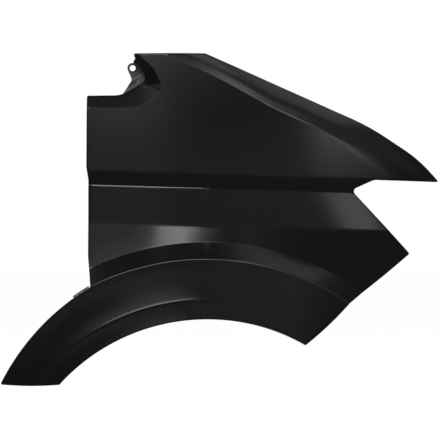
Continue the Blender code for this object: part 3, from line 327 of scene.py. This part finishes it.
def wingEdges():
    centre = np.array([arch["x"], arch["z"]])
    small, w, t = sheet["corner"], flangeWidth, trim
    foot = (t["footX"], arch["z"] + (creaseRadius ** 2 - (t["footX"] - arch["x"]) ** 2) ** 0.5)
    baseZ = t["tail"][1]
    lipRear = (arch["x"] - (arch["radius"] ** 2 - (baseZ - arch["z"]) ** 2) ** 0.5, baseZ)
    rearAngle = np.arctan2(lipRear[1] - arch["z"], lipRear[0] - arch["x"])
    endAngle, flareAngle = radians(arch["endAngle"]), radians(arch["cornerAngle"])
    lipFront = centre + arch["radius"] * np.array([cos(endAngle), sin(endAngle)])
    flareCorner = centre + creaseRadius * np.array([cos(flareAngle), sin(flareAngle)])
    notchTip = (bonnet["tipX"], t["notchTipZ"])
    nose = np.linspace(bonnet["tipX"], bonnet["topX"], sheet["bonnetPoints"])
    topFront = (bonnet["topX"], bonnet["topZ"])
    return [  # name, points, flange, corner radius after it, open start, open end, gutter
        ("doorUpper", straight(t["top"], t["jogHigh"]), w["door"], 0.0, False, True, 0),
        ("doorJog", straight(t["jogHigh"], t["jogLow"]), w["door"], 0.0, True, True, 0),
        ("doorFlat", straight(t["jogLow"], t["flatEnd"]), w["door"], 0.0, True, True, 0),
        ("doorFoot", straight(t["flatEnd"], foot), w["door"], small, True, False, 0),
        ("tailBack", bowed(foot, t["tail"], t["tailBow"]), w["tail"], small, False, False, 0),
        ("tailBase", bowed(t["tail"], lipRear, t["baseBow"]), w["tailBase"], small, False, False, 0),
        ("archLip", arcEdge(centre, arch["radius"], rearAngle, endAngle), w["lip"], small, False, False, 0),
        ("flareEnd", bowed(lipFront, flareCorner, t["flareBow"]), w["flareEnd"], small, False, False, 0),
        ("bumper", bowed(flareCorner, t["front"], t["bumperBow"]), w["bumper"], small, False, False, 0),
        ("lampSide", straight(t["front"], t["notchFoot"]), w["lamp"], t["lampRadius"], False, True, 0),
        ("notchRise", straight(t["notchFoot"], t["notchBreak"]), w["notch"], t["notchRadius"], True, True, 0),
        ("notchTop", straight(t["notchBreak"], notchTip), w["notch"], small, True, False, 0),
        ("bonnet", np.c_[nose, bonnetLine(nose)], w["bonnet"], t["bonnetRadius"], False, False, w["gutter"]),
        ("top", straight(topFront, t["topRear"]), w["top"], small, False, False, 0),
        ("cowlRise", straight(t["topRear"], t["shoulder"]), w["relief"], t["riseRadius"], False, False, 0),
        ("cowlEar", straight(t["shoulder"], t["ear"]), w["relief"], t["earRadius"], False, False, 0),
        ("cowlBrow", straight(t["ear"], t["brow"]), w["relief"], t["browRadius"], False, True, 0),
        ("cowlFront", straight(t["brow"], t["hook"]), w["cowl"], t["hookRadius"], False, True, 0),
        ("cowlWeld", straight(t["hook"], t["floor"]), w["cowl"], t["floorRadius"], True, True, 0),
        ("cowlFloor", straight(t["floor"], t["top"]), w["cowl"], small, True, False, 0),
    ]


class Outline:
    def __init__(self, edges):
        self.edges = edges
        points, spans = joinEdges([e[1] for e in edges], [e[3] for e in edges], closed=True)
        self.points = np.vstack([points, points[:1]])
        self.reach = np.r_[0.0, np.cumsum(np.hypot(*np.diff(self.points, axis=0).T))]
        self.length = self.reach[-1]
        self.spans = {e[0]: (self.reach[a], self.reach[b]) for e, (a, b) in zip(edges, spans)}

    def at(self, s):
        s = np.mod(s, self.length)
        return np.c_[np.interp(s, self.reach, self.points[:, 0]), np.interp(s, self.reach, self.points[:, 1])]

    def inward(self, s, reach=0.0009):
        heading = self.at(s + reach) - self.at(s - reach)
        left = np.c_[-heading[:, 1], heading[:, 0]]
        return left / np.hypot(left[:, 0], left[:, 1])[:, None]

    def flange(self, s):
        width, gutter = np.full(s.shape, flangeWidth["relief"]), np.zeros(s.shape)
        for name, _, full, _, openStart, openEnd, step in self.edges:
            first, last = self.spans[name]
            on = (s >= first) & (s <= last)
            for values, size, low, run in (
                (width, full, flangeWidth["relief"], flangeWidth["reliefLength"]),
                (gutter, step, 0.0, 2 * flangeWidth["reliefLength"]),
            ):
                start = 1.0 if openStart else fade((0.0, run), s[on] - first)
                end = 1.0 if openEnd else fade((0.0, run), last - s[on])
                values[on] = low + (size - low) * start * end
        return width, gutter


outline = Outline(wingEdges())
originZ = -0.085
originShift = np.array([0.0, float(skinDepth(0.0, originZ)[0]) + flangeWidth["door"] / 2, originZ])
print("outline %.3f m round, %d edges" % (outline.length, len(outline.edges)))


def ringPlaces():  # even places along the edges and finer ones round the corners
    places = []
    for first, last in outline.spans.values():
        places.append(np.linspace(first, last, max(2, ceil((last - first) / sheet["edgePitch"]) + 1)))
    ordered = sorted(outline.spans.values())
    for (_, end), (start, _) in zip(ordered, ordered[1:] + [(outline.length, 0.0)]):
        if start - end > sheet["leastTurn"]:
            turn = max(6, ceil((start - end) / sheet["turnPitch"]))
            places.append(end + (start - end) * np.arange(1, turn) / turn)
    s = np.sort(np.concatenate(places) % outline.length)
    keep = np.r_[True, np.diff(s) > sheet["closest"]]
    keep[-1] = keep[-1] and outline.length - s[-1] > sheet["closest"]
    return s[keep]


rowSpread = {
    "steps": (0.0, -0.5, 0.5, -1.0, 1.0, -1.7, 1.7), "arch": 0.0024, "ridge": 0.0022, "shoulder": 0.0026,
    "recess": 0.0024, "ledge": 0.0014, "margin": (-0.02, 0.01), "archMargin": 0.1,
}


def rowLines():  # lines of points along every fold, so that its bend is drawn evenly
    before, after = rowSpread["margin"]
    xs = np.arange(before, bonnet["tipX"] + after, sheet["rowPitch"])
    heading = np.gradient(recessLine, axis=0)
    heading = heading / np.hypot(heading[:, 0], heading[:, 1])[:, None]
    left = np.c_[-heading[:, 1], heading[:, 0]]
    lines = []
    start, lip, end, _ = ledgeLevels(xs)
    for level in (start + 0 * xs, lip, end, start - rowSpread["ledge"] + 0 * xs, end + rowSpread["ledge"]):
        lines.append(np.c_[xs, -level - side["waistFall"] * xs])
    for k in rowSpread["steps"]:
        for middle in (side["ridge"], -side["crease"]):
            lines.append(np.c_[xs, middle + k * side["foldSoft"] - side["waistFall"] * xs])
        for middle, spread in (
            (creaseRadius, rowSpread["arch"]), (topRadius, rowSpread["arch"]), (ridgeRadius, rowSpread["ridge"])
        ):
            r = middle + k * spread
            a = np.arange(-rowSpread["archMargin"], pi + rowSpread["archMargin"], sheet["rowPitch"] / r)
            lines.append(np.c_[arch["x"] + r * np.cos(a), arch["z"] + r * np.sin(a)])
        lines.append(np.c_[xs, shoulderLine(xs) + k * rowSpread["shoulder"]])
        lines.append(recessLine + left * rowSpread["recess"] * k)
    return lines


def insideLoop(loop, points):
    ends = np.roll(loop, -1, axis=0)
    result = np.zeros(len(points), bool)
    for start in range(0, len(points), 3000):  # in blocks, to save memory
        block = points[start:start + 3000]
        x, z = block[:, :1], block[:, 1:]
        crosses = (loop[:, 1] > z) != (ends[:, 1] > z)
        with np.errstate(divide="ignore", invalid="ignore"):
            at = loop[:, 0] + (z - loop[:, 1]) * (ends[:, 0] - loop[:, 0]) / (ends[:, 1] - loop[:, 1])
        result[start:start + 3000] = (np.count_nonzero(crosses & (x < at), axis=1) % 2) == 1
    return result


def fieldPoints(loop):  # points inside the edge loop, and the edges that hold the folds' rows together
    edgeTree = KDTree(len(loop))
    for i, (x, z) in enumerate(loop):
        edgeTree.insert((x, z, 0.0), i)
    edgeTree.balance()
    cells, taken = {}, []
    size, pitch = sheet["cell"], sheet["gridPitch"]

    def offer(points, clear, edgeClear):
        first = len(taken)
        for x, z in points:
            if edgeTree.find((x, z, 0.0))[2] < edgeClear:
                continue
            i, j = int(x // size), int(z // size)
            near = (q for a in (-1, 0, 1) for b in (-1, 0, 1) for q in cells.get((i + a, j + b), ()))
            if any((x - u) ** 2 + (z - v) ** 2 < clear * clear for u, v in near):
                continue
            cells.setdefault((i, j), []).append((x, z))
            taken.append((x, z))
        return range(first, len(taken))

    held, longest = [], sheet["rowPitch"] * sheet["rowBreak"]
    for line in rowLines():
        row = offer(line[insideLoop(loop, line)], sheet["rowClear"], sheet["edgePitch"] * sheet["rowEdgeShare"])
        for k in row[1:]:
            if np.hypot(taken[k][0] - taken[k - 1][0], taken[k][1] - taken[k - 1][1]) < longest:
                held.append((k - 1, k))
    low, high = loop.min(axis=0), loop.max(axis=0)
    rise = pitch * 3 ** 0.5 / 2
    rows, columns = ceil((high[1] - low[1]) / rise), ceil((high[0] - low[0]) / pitch)
    j, i = np.mgrid[0:rows, 0:columns]
    grid = np.c_[(low[0] + (i + 0.5 * (j % 2)) * pitch).ravel(), (low[1] + j * rise).ravel()]
    offer(grid[insideLoop(loop, grid)], pitch * sheet["gridShare"], sheet["edgePitch"] * sheet["gridEdgeShare"])
    return np.array(taken), held


def pressedSkin():  # the outer face, its bend all round and the flanges, as one open surface
    s = ringPlaces()
    edge, inward = outline.at(s), outline.inward(s)
    ring = edge + inward * sheet["bend"]
    count = len(ring)
    field, held = fieldPoints(ring)
    border = [(i, (i + 1) % count) for i in range(count)] + [(a + count, b + count) for a, b in held]
    seeds = [Vector(p) for p in np.vstack([ring, field])]
    verts, _, faces, *_ = delaunay_2d_cdt(seeds, border, [], 1, 1e-7)
    flat = np.array([tuple(v) for v in verts])
    rows = [np.c_[flat[:, 0], skinDepth(flat[:, 0], flat[:, 1]), flat[:, 1]]]
    width, gutter = outline.flange(s)
    y = skinDepth(edge[:, 0], edge[:, 1])
    corner = np.c_[edge[:, 0], y, edge[:, 1]]
    turned = corner + np.array([0.0, sheet["bend"], 0.0])
    brim = rows[0][:count]
    for t in sheet["bendSteps"]:
        rows.append(brim * (1 - t) ** 2 + corner * 2 * t * (1 - t) + turned * t ** 2)
    for share in sheet["wallSteps"]:
        moved = edge + inward * (gutter * fade(sheet["gutterRun"], share))[:, None]
        rows.append(np.c_[moved[:, 0], y + sheet["bend"] + (width - sheet["bend"]) * share, moved[:, 1]])
    faces = [list(f) for f in faces]
    upper, first = 0, len(rows[0])
    for _ in rows[1:]:
        for i in range(count):
            j = (i + 1) % count
            faces.append([upper + j, upper + i, first + i, first + j])
        upper, first = first, first + count
    return np.vstack(rows), faces


def placed(name, mesh):
    obj = bpy.data.objects.new(name, mesh)
    bpy.context.scene.collection.objects.link(obj)
    return obj


def fromBmesh(name, bm):
    mesh = bpy.data.meshes.new(name)
    bm.to_mesh(mesh)
    bm.free()
    return placed(name, mesh)


def applied(obj, name):  # the object with its modifiers made real
    graph = bpy.context.evaluated_depsgraph_get()
    mesh = bpy.data.meshes.new_from_object(obj.evaluated_get(graph))
    mesh.name = name
    bpy.data.objects.remove(obj)
    return placed(name, mesh)


holes = {  # edge, shares of its length, hole radius, slot length, how far down the flange
    "doorUpper": ((0.25, 0.85), 0.0050, 0.0, 0.62),
    "doorFlat": ((0.90,), 0.0050, 0.0, 0.62),
    "bonnet": ((0.30, 0.50, 0.70, 0.90), 0.0045, 0.006, 0.68),
    "archLip": ((0.09, 0.295, 0.50, 0.705, 0.91), 0.0040, 0.0, 0.62),
    "bumper": ((0.28, 0.72), 0.0042, 0.005, 0.62),
    "lampSide": ((0.22, 0.70), 0.0042, 0.0, 0.62),
    "tailBase": ((0.5,), 0.0042, 0.006, 0.62),
}
punch = {"length": 0.012, "sides": 40}


def addPunch(bm, centre, axis, along, radius, slot):
    across = axis.cross(along)
    made = bmesh.ops.create_cone(
        bm, cap_ends=True, cap_tris=False, segments=punch["sides"],
        radius1=radius, radius2=radius, depth=punch["length"],
    )
    for vert in made["verts"]:
        x, y, z = vert.co
        shift = slot / 2 if x > 1e-6 else -slot / 2 if x < -1e-6 else 0.0
        vert.co = centre + along * (x + shift) + across * y + axis * z


def punches():
    bm = bmesh.new()
    flanges = {e[0]: (e[2], e[6]) for e in outline.edges}
    for name, (shares, radius, slot, inboard) in holes.items():
        first, last = outline.spans[name]
        width, gutter = flanges[name]
        for share in shares:
            s = np.array([first + (last - first) * share])
            p, n = outline.at(s)[0], outline.inward(s)[0]
            y = float(skinDepth(p[0], p[1])[0]) + width * inboard
            axis = Vector((n[0], 0.0, n[1]))
            centre = Vector((p[0] + n[0] * gutter, y, p[1] + n[1] * gutter))
            addPunch(bm, centre, axis, axis.cross(Vector((0, 1, 0))), radius, slot)
    return fromBmesh("punches", bm)


def crispFolds(mesh):  # folds struck hard by the press: flare's top, rear of the shoulder, cut-out band, ledge
    spots = np.empty(len(mesh.vertices) * 3, np.float32)
    mesh.vertices.foreach_get("co", spots)
    x, z = spots[0::3] + originShift[0], spots[2::3] + originShift[2]
    height = waistHeight(x, z)
    start, lip, _, _ = ledgeLevels(x)
    offsets = [
        archReach(x, z) - topRadius, np.where(x < shoulder["crispTo"], z - shoulderLine(x), 1.0),
        recessReach(x, z), height + start, height + lip,
    ]
    ends = np.empty(len(mesh.edges) * 2, np.int32)
    mesh.edges.foreach_get("vertices", ends)
    first, last = ends[0::2], ends[1::2]
    crisp = np.zeros(len(first), bool)
    for offset in offsets:
        on = abs(offset) < sheet["onFold"]
        crisp |= on[first] & on[last]
    for i in np.nonzero(crisp)[0]:
        mesh.edges[i].use_edge_sharp = True


points, faces = pressedSkin()
print("skin drawn:", len(points), "points,", len(faces), "faces")
blankMesh = bpy.data.meshes.new("wingBlank")
blankMesh.from_pydata([tuple(p) for p in points], [], faces)
blankMesh.update()
blank = placed("wingBlank", blankMesh)
solid = blank.modifiers.new("sheet", "SOLIDIFY")
solid.thickness, solid.offset = sheet["thickness"], -1.0
solid.use_even_offset = True
tool = punches()
cut = blank.modifiers.new("holes", "BOOLEAN")
cut.operation, cut.solver, cut.object = "DIFFERENCE", "EXACT", tool
wingSkin = applied(blank, "wingSkin")
bpy.data.objects.remove(tool)
for vert in wingSkin.data.vertices:
    vert.co -= Vector(originShift)
wingSkin.data.shade_smooth()
wingSkin.data.set_sharp_from_angle(angle=radians(sheet["sharpAngle"]))
crispFolds(wingSkin.data)
print("skin pressed and pierced:", len(wingSkin.data.polygons), "faces")

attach(wingSkin, "root")
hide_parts("fender_panel")


def newGroup(name, inputs, outputs):
    group = bpy.data.node_groups.new(name, "ShaderNodeTree")
    for label, kind, value in inputs:
        socket = group.interface.new_socket(label, in_out="INPUT", socket_type=kind)
        socket.default_value = value
    for label, kind in outputs:
        group.interface.new_socket(label, in_out="OUTPUT", socket_type=kind)
    return group, group.nodes.new("NodeGroupInput"), group.nodes.new("NodeGroupOutput")


def addNoise(nodes, scale, detail):
    noise = nodes.new("ShaderNodeTexNoise")
    noise.inputs["Scale"].default_value = scale
    noise.inputs["Detail"].default_value = detail
    return noise


def addMath(nodes, operation, *numbers):  # the numbers go to the second socket and on
    step = nodes.new("ShaderNodeMath")
    step.operation = operation
    for i, number in enumerate(numbers):
        step.inputs[i + 1].default_value = number
    return step


wear = {  # dust and rub marks: noise scales and details, and the stretch and turn of the rub
    "cloud": (5.0, 4.0), "fine": (420.0, 3.0), "rub": (1.0, 5.0),
    "stretch": (30.0, 30.0, 260.0), "turn": (0.2, 0.5, 0.1), "rubFrom": 0.60, "rubTo": 0.78,
}


def handlingGroup():  # dust and faint rub marks that any sheet part picks up in the store
    group, given, out = newGroup(
        "handlingMarks",
        [("Scale", "NodeSocketFloat", 1.0), ("Amount", "NodeSocketFloat", 0.5)],
        [("Marks", "NodeSocketFloat"), ("Cloud", "NodeSocketFloat"), ("Grain", "NodeSocketFloat")],
    )
    nodes, links = group.nodes, group.links
    place = nodes.new("ShaderNodeTexCoord")
    scaled = nodes.new("ShaderNodeVectorMath")
    scaled.operation = "SCALE"
    links.new(place.outputs["Object"], scaled.inputs[0])
    links.new(given.outputs["Scale"], scaled.inputs["Scale"])
    cloud, fine, rub = (addNoise(nodes, *wear[name]) for name in ("cloud", "fine", "rub"))
    streak = nodes.new("ShaderNodeMapping")
    streak.inputs["Scale"].default_value = wear["stretch"]
    streak.inputs["Rotation"].default_value = wear["turn"]
    for target in (cloud, fine, streak):
        links.new(scaled.outputs[0], target.inputs["Vector"])
    links.new(streak.outputs[0], rub.inputs["Vector"])
    limit = nodes.new("ShaderNodeMapRange")
    limit.inputs["From Min"].default_value = wear["rubFrom"]
    limit.inputs["From Max"].default_value = wear["rubTo"]
    weigh = addMath(nodes, "MULTIPLY")
    links.new(rub.outputs["Fac"], limit.inputs["Value"])
    links.new(limit.outputs["Result"], weigh.inputs[0])
    links.new(given.outputs["Amount"], weigh.inputs[1])
    links.new(weigh.outputs[0], out.inputs["Marks"])
    links.new(cloud.outputs["Fac"], out.inputs["Cloud"])
    links.new(fine.outputs["Fac"], out.inputs["Grain"])
    return group


handling = handlingGroup()


def newFinish(name, scale, amount=0.5):  # a material with the handling marks placed in it
    material = bpy.data.materials.new(name)
    material.use_nodes = True
    tree = material.node_tree
    marks = tree.nodes.new("ShaderNodeGroup")
    marks.node_tree = handling
    marks.inputs["Scale"].default_value = scale
    marks.inputs["Amount"].default_value = amount
    return material, tree, tree.nodes["Principled BSDF"], marks.outputs


def mixed(tree, factor, first, second):  # first is a colour or a socket, second a colour
    mix = tree.nodes.new("ShaderNodeMix")
    mix.data_type = "RGBA"
    tree.links.new(factor, mix.inputs["Factor"])
    if isinstance(first, bpy.types.NodeSocket):
        tree.links.new(first, mix.inputs["A"])
    else:
        mix.inputs["A"].default_value = first
    mix.inputs["B"].default_value = second
    return mix.outputs["Result"]


def addGloss(tree, mask, smooth, dull, shader):
    gloss = tree.nodes.new("ShaderNodeMapRange")
    gloss.inputs["To Min"].default_value = smooth
    gloss.inputs["To Max"].default_value = dull
    tree.links.new(mask, gloss.inputs["Value"])
    tree.links.new(gloss.outputs["Result"], shader.inputs["Roughness"])


def addBump(tree, height, strength, distance, shader):
    bump = tree.nodes.new("ShaderNodeBump")
    bump.inputs["Strength"].default_value = strength
    bump.inputs["Distance"].default_value = distance
    tree.links.new(height, bump.inputs["Height"])
    tree.links.new(bump.outputs["Normal"], shader.inputs["Normal"])


primer = {
    "dark": (0.0026, 0.0038, 0.0026, 1), "light": (0.0044, 0.0058, 0.0040, 1), "dust": (0.010, 0.012, 0.009, 1),
    "ior": 1.5, "marks": 0.35, "smooth": 0.19, "dull": 0.23, "peel": 0.02, "peelDepth": 0.0002,
}


def blackPrimer():
    material, tree, shader, marks = newFinish("blackPrimer", 1.0, primer["marks"])
    shader.inputs["IOR"].default_value = primer["ior"]
    tone = mixed(tree, marks["Cloud"], primer["dark"], primer["light"])
    dusty = mixed(tree, marks["Marks"], tone, primer["dust"])
    tree.links.new(dusty, shader.inputs["Base Color"])
    addGloss(tree, marks["Cloud"], primer["smooth"], primer["dull"], shader)
    addBump(tree, marks["Grain"], primer["peel"], primer["peelDepth"], shader)
    return material


zinc = {
    "dark": (0.12, 0.125, 0.13, 1), "light": (0.20, 0.21, 0.22, 1), "stain": (0.08, 0.08, 0.08, 1),
    "metallic": 0.6, "marksScale": 6.0, "marks": 0.8, "spangle": 380.0, "contrast": 0.55, "base": 0.2,
    "smooth": 0.36, "dull": 0.52, "grain": 0.12, "grainDepth": 0.0002,
}


def zincSteel():
    material, tree, shader, marks = newFinish("zincSteel", zinc["marksScale"], zinc["marks"])
    shader.inputs["Metallic"].default_value = zinc["metallic"]
    place = tree.nodes.new("ShaderNodeTexCoord")
    spangle = tree.nodes.new("ShaderNodeTexVoronoi")
    spangle.inputs["Scale"].default_value = zinc["spangle"]
    level = addMath(tree.nodes, "MULTIPLY_ADD", zinc["contrast"], zinc["base"])
    tree.links.new(place.outputs["Object"], spangle.inputs["Vector"])
    tree.links.new(spangle.outputs["Color"], level.inputs[0])
    tone = mixed(tree, level.outputs[0], zinc["dark"], zinc["light"])
    stained = mixed(tree, marks["Marks"], tone, zinc["stain"])
    tree.links.new(stained, shader.inputs["Base Color"])
    addGloss(tree, marks["Cloud"], zinc["smooth"], zinc["dull"], shader)
    addBump(tree, marks["Grain"], zinc["grain"], zinc["grainDepth"], shader)
    return material


wingSkin.data.materials.clear()
wingSkin.data.materials.append(blackPrimer())
bracketFinish = zincSteel()
for name in ("cowl_bracket", "sill_bracket"):
    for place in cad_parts[name].material_slots:
        place.material = bracketFinish

tab = {  # what sits on the cowl bracket: rim round its hole, weld bead and near-black slit cords that paint the shade in the web's gaps, as x and z
    "hole": (0.0909, 0.3318), "face": 0.04632, "sunk": 0.00005, "inner": 0.0067, "outer": 0.0090, "rimSides": 48,
    "rim": 0.0006, "rimEdge": 0.8, "bead": 0.0009, "slit": 0.0017, "taper": 0.35, "flatness": 0.6, "sides": 10,
    "beadPath": [(0.0790, 0.2850), (0.0900, 0.2912), (0.1040, 0.2992), (0.1170, 0.3070)], "beadStops": 24,
    "slits": [
        [(0.0885, 0.3020), (0.0825, 0.2900)], [(0.0935, 0.3035), (0.0885, 0.2935)],
        [(0.0990, 0.3055), (0.0950, 0.2970)],
    ],
    "slitStops": 8, "marksScale": 9.0, "lighter": 1.7, "smoother": 0.08, "rougher": 0.10,
    "rimLook": ((0.022, 0.023, 0.025), 0.45, 0.0), "weldLook": ((0.10, 0.10, 0.095), 0.4, 0.5),
    "slitShadeLook": ((0.004, 0.004, 0.0045), 0.5, 0.0),  # colour, roughness, metallic; the slit cords' near-black is painted shade
}


def plainFinish(name, colour, roughness, metallic):
    material, tree, shader, marks = newFinish(name, tab["marksScale"])
    shader.inputs["Metallic"].default_value = metallic
    tone = mixed(tree, marks["Cloud"], (*colour, 1), (*(c * tab["lighter"] for c in colour), 1))
    tree.links.new(tone, shader.inputs["Base Color"])
    addGloss(tree, marks["Grain"], roughness - tab["smoother"], roughness + tab["rougher"], shader)
    return material


def onBracket(x, z):  # the outboard face of the bolt tab behind a point of the side view
    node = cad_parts["cowl_bracket"]
    back = node.matrix_world.inverted()
    hit, spot, *_ = node.ray_cast(back @ Vector((x, -0.2, z)), (back.to_3x3() @ Vector((0, 1, 0))).normalized())
    return node.matrix_world @ spot if hit else None


def along(stops, count):  # even places along a bent path
    stops = np.array(stops)
    run = np.r_[0, np.cumsum(np.hypot(*np.diff(stops, axis=0).T))]
    at = np.linspace(0, run[-1], count)
    return list(zip(np.interp(at, run, stops[:, 0]), np.interp(at, run, stops[:, 1])))


def fullTurn(count):
    return [2 * pi * k / count for k in range(count)]


def bandFaces(bm, pairs):  # closes each pair of rings with a band of quads
    for low, high in pairs:
        count = len(low)
        for k in range(count):
            bm.faces.new((low[k], low[(k + 1) % count], high[(k + 1) % count], high[k]))


def onTab(name, bm, material, smooth):
    bmesh.ops.recalc_face_normals(bm, faces=bm.faces)
    obj = fromBmesh(name, bm)
    if smooth:
        obj.data.shade_smooth()
    obj.data.materials.append(material)
    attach(obj, "root")


def cord(name, path, radius, material):  # a half-sunk round cord laid on the tab: weld bead, or slit cord whose near-black paints the shade of a gap
    stops = [spot for spot in (onBracket(x, z) for x, z in path) if spot is not None]
    bm = bmesh.new()
    rings, last = [], len(stops) - 1
    for i, spot in enumerate(stops):
        heading = (stops[min(i + 1, last)] - stops[max(i - 1, 0)]).normalized()
        across = heading.cross(Vector((0, 1, 0))).normalized()
        up = across.cross(heading) * tab["flatness"]
        girth = radius * (tab["taper"] if i in (0, last) else 1.0)
        rings.append([
            bm.verts.new(spot + across * girth * cos(a) + up * girth * sin(a)) for a in fullTurn(tab["sides"])
        ])
    bandFaces(bm, zip(rings[:-1], rings[1:]))
    bm.faces.new(rings[0][::-1])
    bm.faces.new(rings[-1])
    onTab(name, bm, material, True)


def tabRim(material):  # dark raised ring round the hole of the tab
    bm = bmesh.new()
    x, z = tab["hole"]
    inner, outer, turns = tab["inner"], tab["outer"], fullTurn(tab["rimSides"])
    rings = []
    for radius, rise in ((inner, 0.0), (inner, 1.0), (outer, tab["rimEdge"]), (outer, 0.0)):
        y = tab["face"] - tab["sunk"] - tab["rim"] * rise
        rings.append([bm.verts.new((x + radius * cos(a), y, z + radius * sin(a))) for a in turns])
    bandFaces(bm, zip(rings, rings[1:] + rings[:1]))
    onTab("tabCollar", bm, material, False)


tabRim(plainFinish("collarGrey", *tab["rimLook"]))
# the slit cords' near-black finish is painted shade in the gaps of the bracket's web
weldFinish, slitShade = plainFinish("weldBead", *tab["weldLook"]), plainFinish("paintedSlitShade", *tab["slitShadeLook"])
cord("tabWeld", along(tab["beadPath"], tab["beadStops"]), tab["bead"], weldFinish)
for i, path in enumerate(tab["slits"]):
    cord("tabSlitShade%d" % (i + 1), along(path, tab["slitStops"]), tab["slit"], slitShade)
print("finishes on")

studio = {
    "ambient": 0.08, "ambientColour": (0.95, 1.0, 0.94, 1), "frontColour": (0.93, 1.0, 0.98),
    "floorSpot": (0.3, 0.0, -0.75), "floorSize": 60, "floorColour": (0.23, 0.24, 0.22, 1), "floorGlow": 0.96,
    "middle": (0.28, 0.0, 0.0), "cameraSpot": (0.2759, -5.127, 0.0104), "lens": 200.0, "sensor": 36.0,
}


def lamp(name, azimuth, elevation, distance, size, radiance, colour=(1, 1, 1)):
    # a soft box aimed at the wing, by the brightness of its face; 0 is the camera's side, 90 the vehicle's front
    a, e = radians(azimuth), radians(elevation)
    spot = Vector((studio["middle"][0] + distance * sin(a) * cos(e), -distance * cos(a) * cos(e), distance * sin(e)))
    data = bpy.data.lights.new(name, "AREA")
    data.color = colour
    data.shape, data.size, data.size_y = "RECTANGLE", size[0], size[1]
    data.energy = radiance * size[0] * size[1] * pi
    obj = placed(name, data)
    obj.location = spot
    obj.rotation_euler = (Vector(studio["middle"]) - spot).to_track_quat("-Z", "Y").to_euler()


lamp("keyRear", -5.5, 41, 10.0, (6.8, 2.5), 5.4)
lamp("keyMiddle", 22.5, 40, 10.0, (3.4, 2.8), 2.0)
lamp("keyFront", 42, 40, 10.0, (3.4, 2.8), 4.2)
lamp("rearPanel", -46, 20, 9.0, (3.0, 3.4), 0.32)
lamp("rearWall", -9, 24, 9.5, (4.2, 2.0), 0.55)
lamp("middleWall", -1, 8, 9.0, (2.2, 4.2), 0.30)
lamp("sideWall", 28, 4, 9.0, (6.4, 3.6), 0.18)
lamp("frontCeiling", 70, 36, 9.0, (7.0, 5.0), 0.15)
lamp("frontWide", 54, 14, 8.4, (3.4, 2.2), 0.35, studio["frontColour"])
lamp("frontHeart", 51, 17, 8.0, (2.5, 1.1), 1.7, studio["frontColour"])
lamp("highFront", 66, 63, 8.0, (3.0, 1.6), 1.1)
lamp("farCorner", 116, 53, 8.0, (4.0, 3.0), 0.5)
lamp("backWall", 196, 30, 9.0, (7.0, 4.0), 0.55)


def paleFloor():  # matte, and seen white by the camera alone
    material = bpy.data.materials.new("paleFloor")
    material.use_nodes = True
    nodes, links = material.node_tree.nodes, material.node_tree.links
    nodes.remove(nodes["Principled BSDF"])
    matte = nodes.new("ShaderNodeBsdfDiffuse")
    matte.inputs["Color"].default_value = studio["floorColour"]
    glow = nodes.new("ShaderNodeEmission")
    path = nodes.new("ShaderNodeLightPath")
    level = addMath(nodes, "MULTIPLY", studio["floorGlow"])
    both = nodes.new("ShaderNodeAddShader")
    links.new(path.outputs["Is Camera Ray"], level.inputs[0])
    links.new(level.outputs[0], glow.inputs["Strength"])
    links.new(matte.outputs[0], both.inputs[0])
    links.new(glow.outputs[0], both.inputs[1])
    links.new(both.outputs[0], nodes["Material Output"].inputs["Surface"])
    return material


bpy.ops.mesh.primitive_plane_add(size=studio["floorSize"], location=studio["floorSpot"])
floorPlane = bpy.context.object
floorPlane.name = "paleFloor"
floorPlane.data.materials.append(paleFloor())

world = bpy.data.worlds.new("studioWorld")
bpy.context.scene.world = world
world.use_nodes = True
tree = world.node_tree
seen = tree.nodes.new("ShaderNodeLightPath").outputs["Is Camera Ray"]
level = tree.nodes.new("ShaderNodeMapRange")
level.inputs["To Min"].default_value = studio["ambient"]
level.inputs["To Max"].default_value = 1.0
tree.links.new(seen, level.inputs["Value"])
tree.links.new(mixed(tree, seen, studio["ambientColour"], (1, 1, 1, 1)), tree.nodes["Background"].inputs["Color"])
tree.links.new(level.outputs["Result"], tree.nodes["Background"].inputs["Strength"])

cameraData = bpy.data.cameras.new("camera")
cameraData.lens, cameraData.sensor_width = studio["lens"], studio["sensor"]
camera = placed("camera", cameraData)
camera.location = studio["cameraSpot"]
camera.rotation_euler = (pi / 2, 0.0, 0.0)
bpy.context.scene.camera = camera
bpy.context.scene.view_settings.view_transform = "Standard"
print("studio ready")
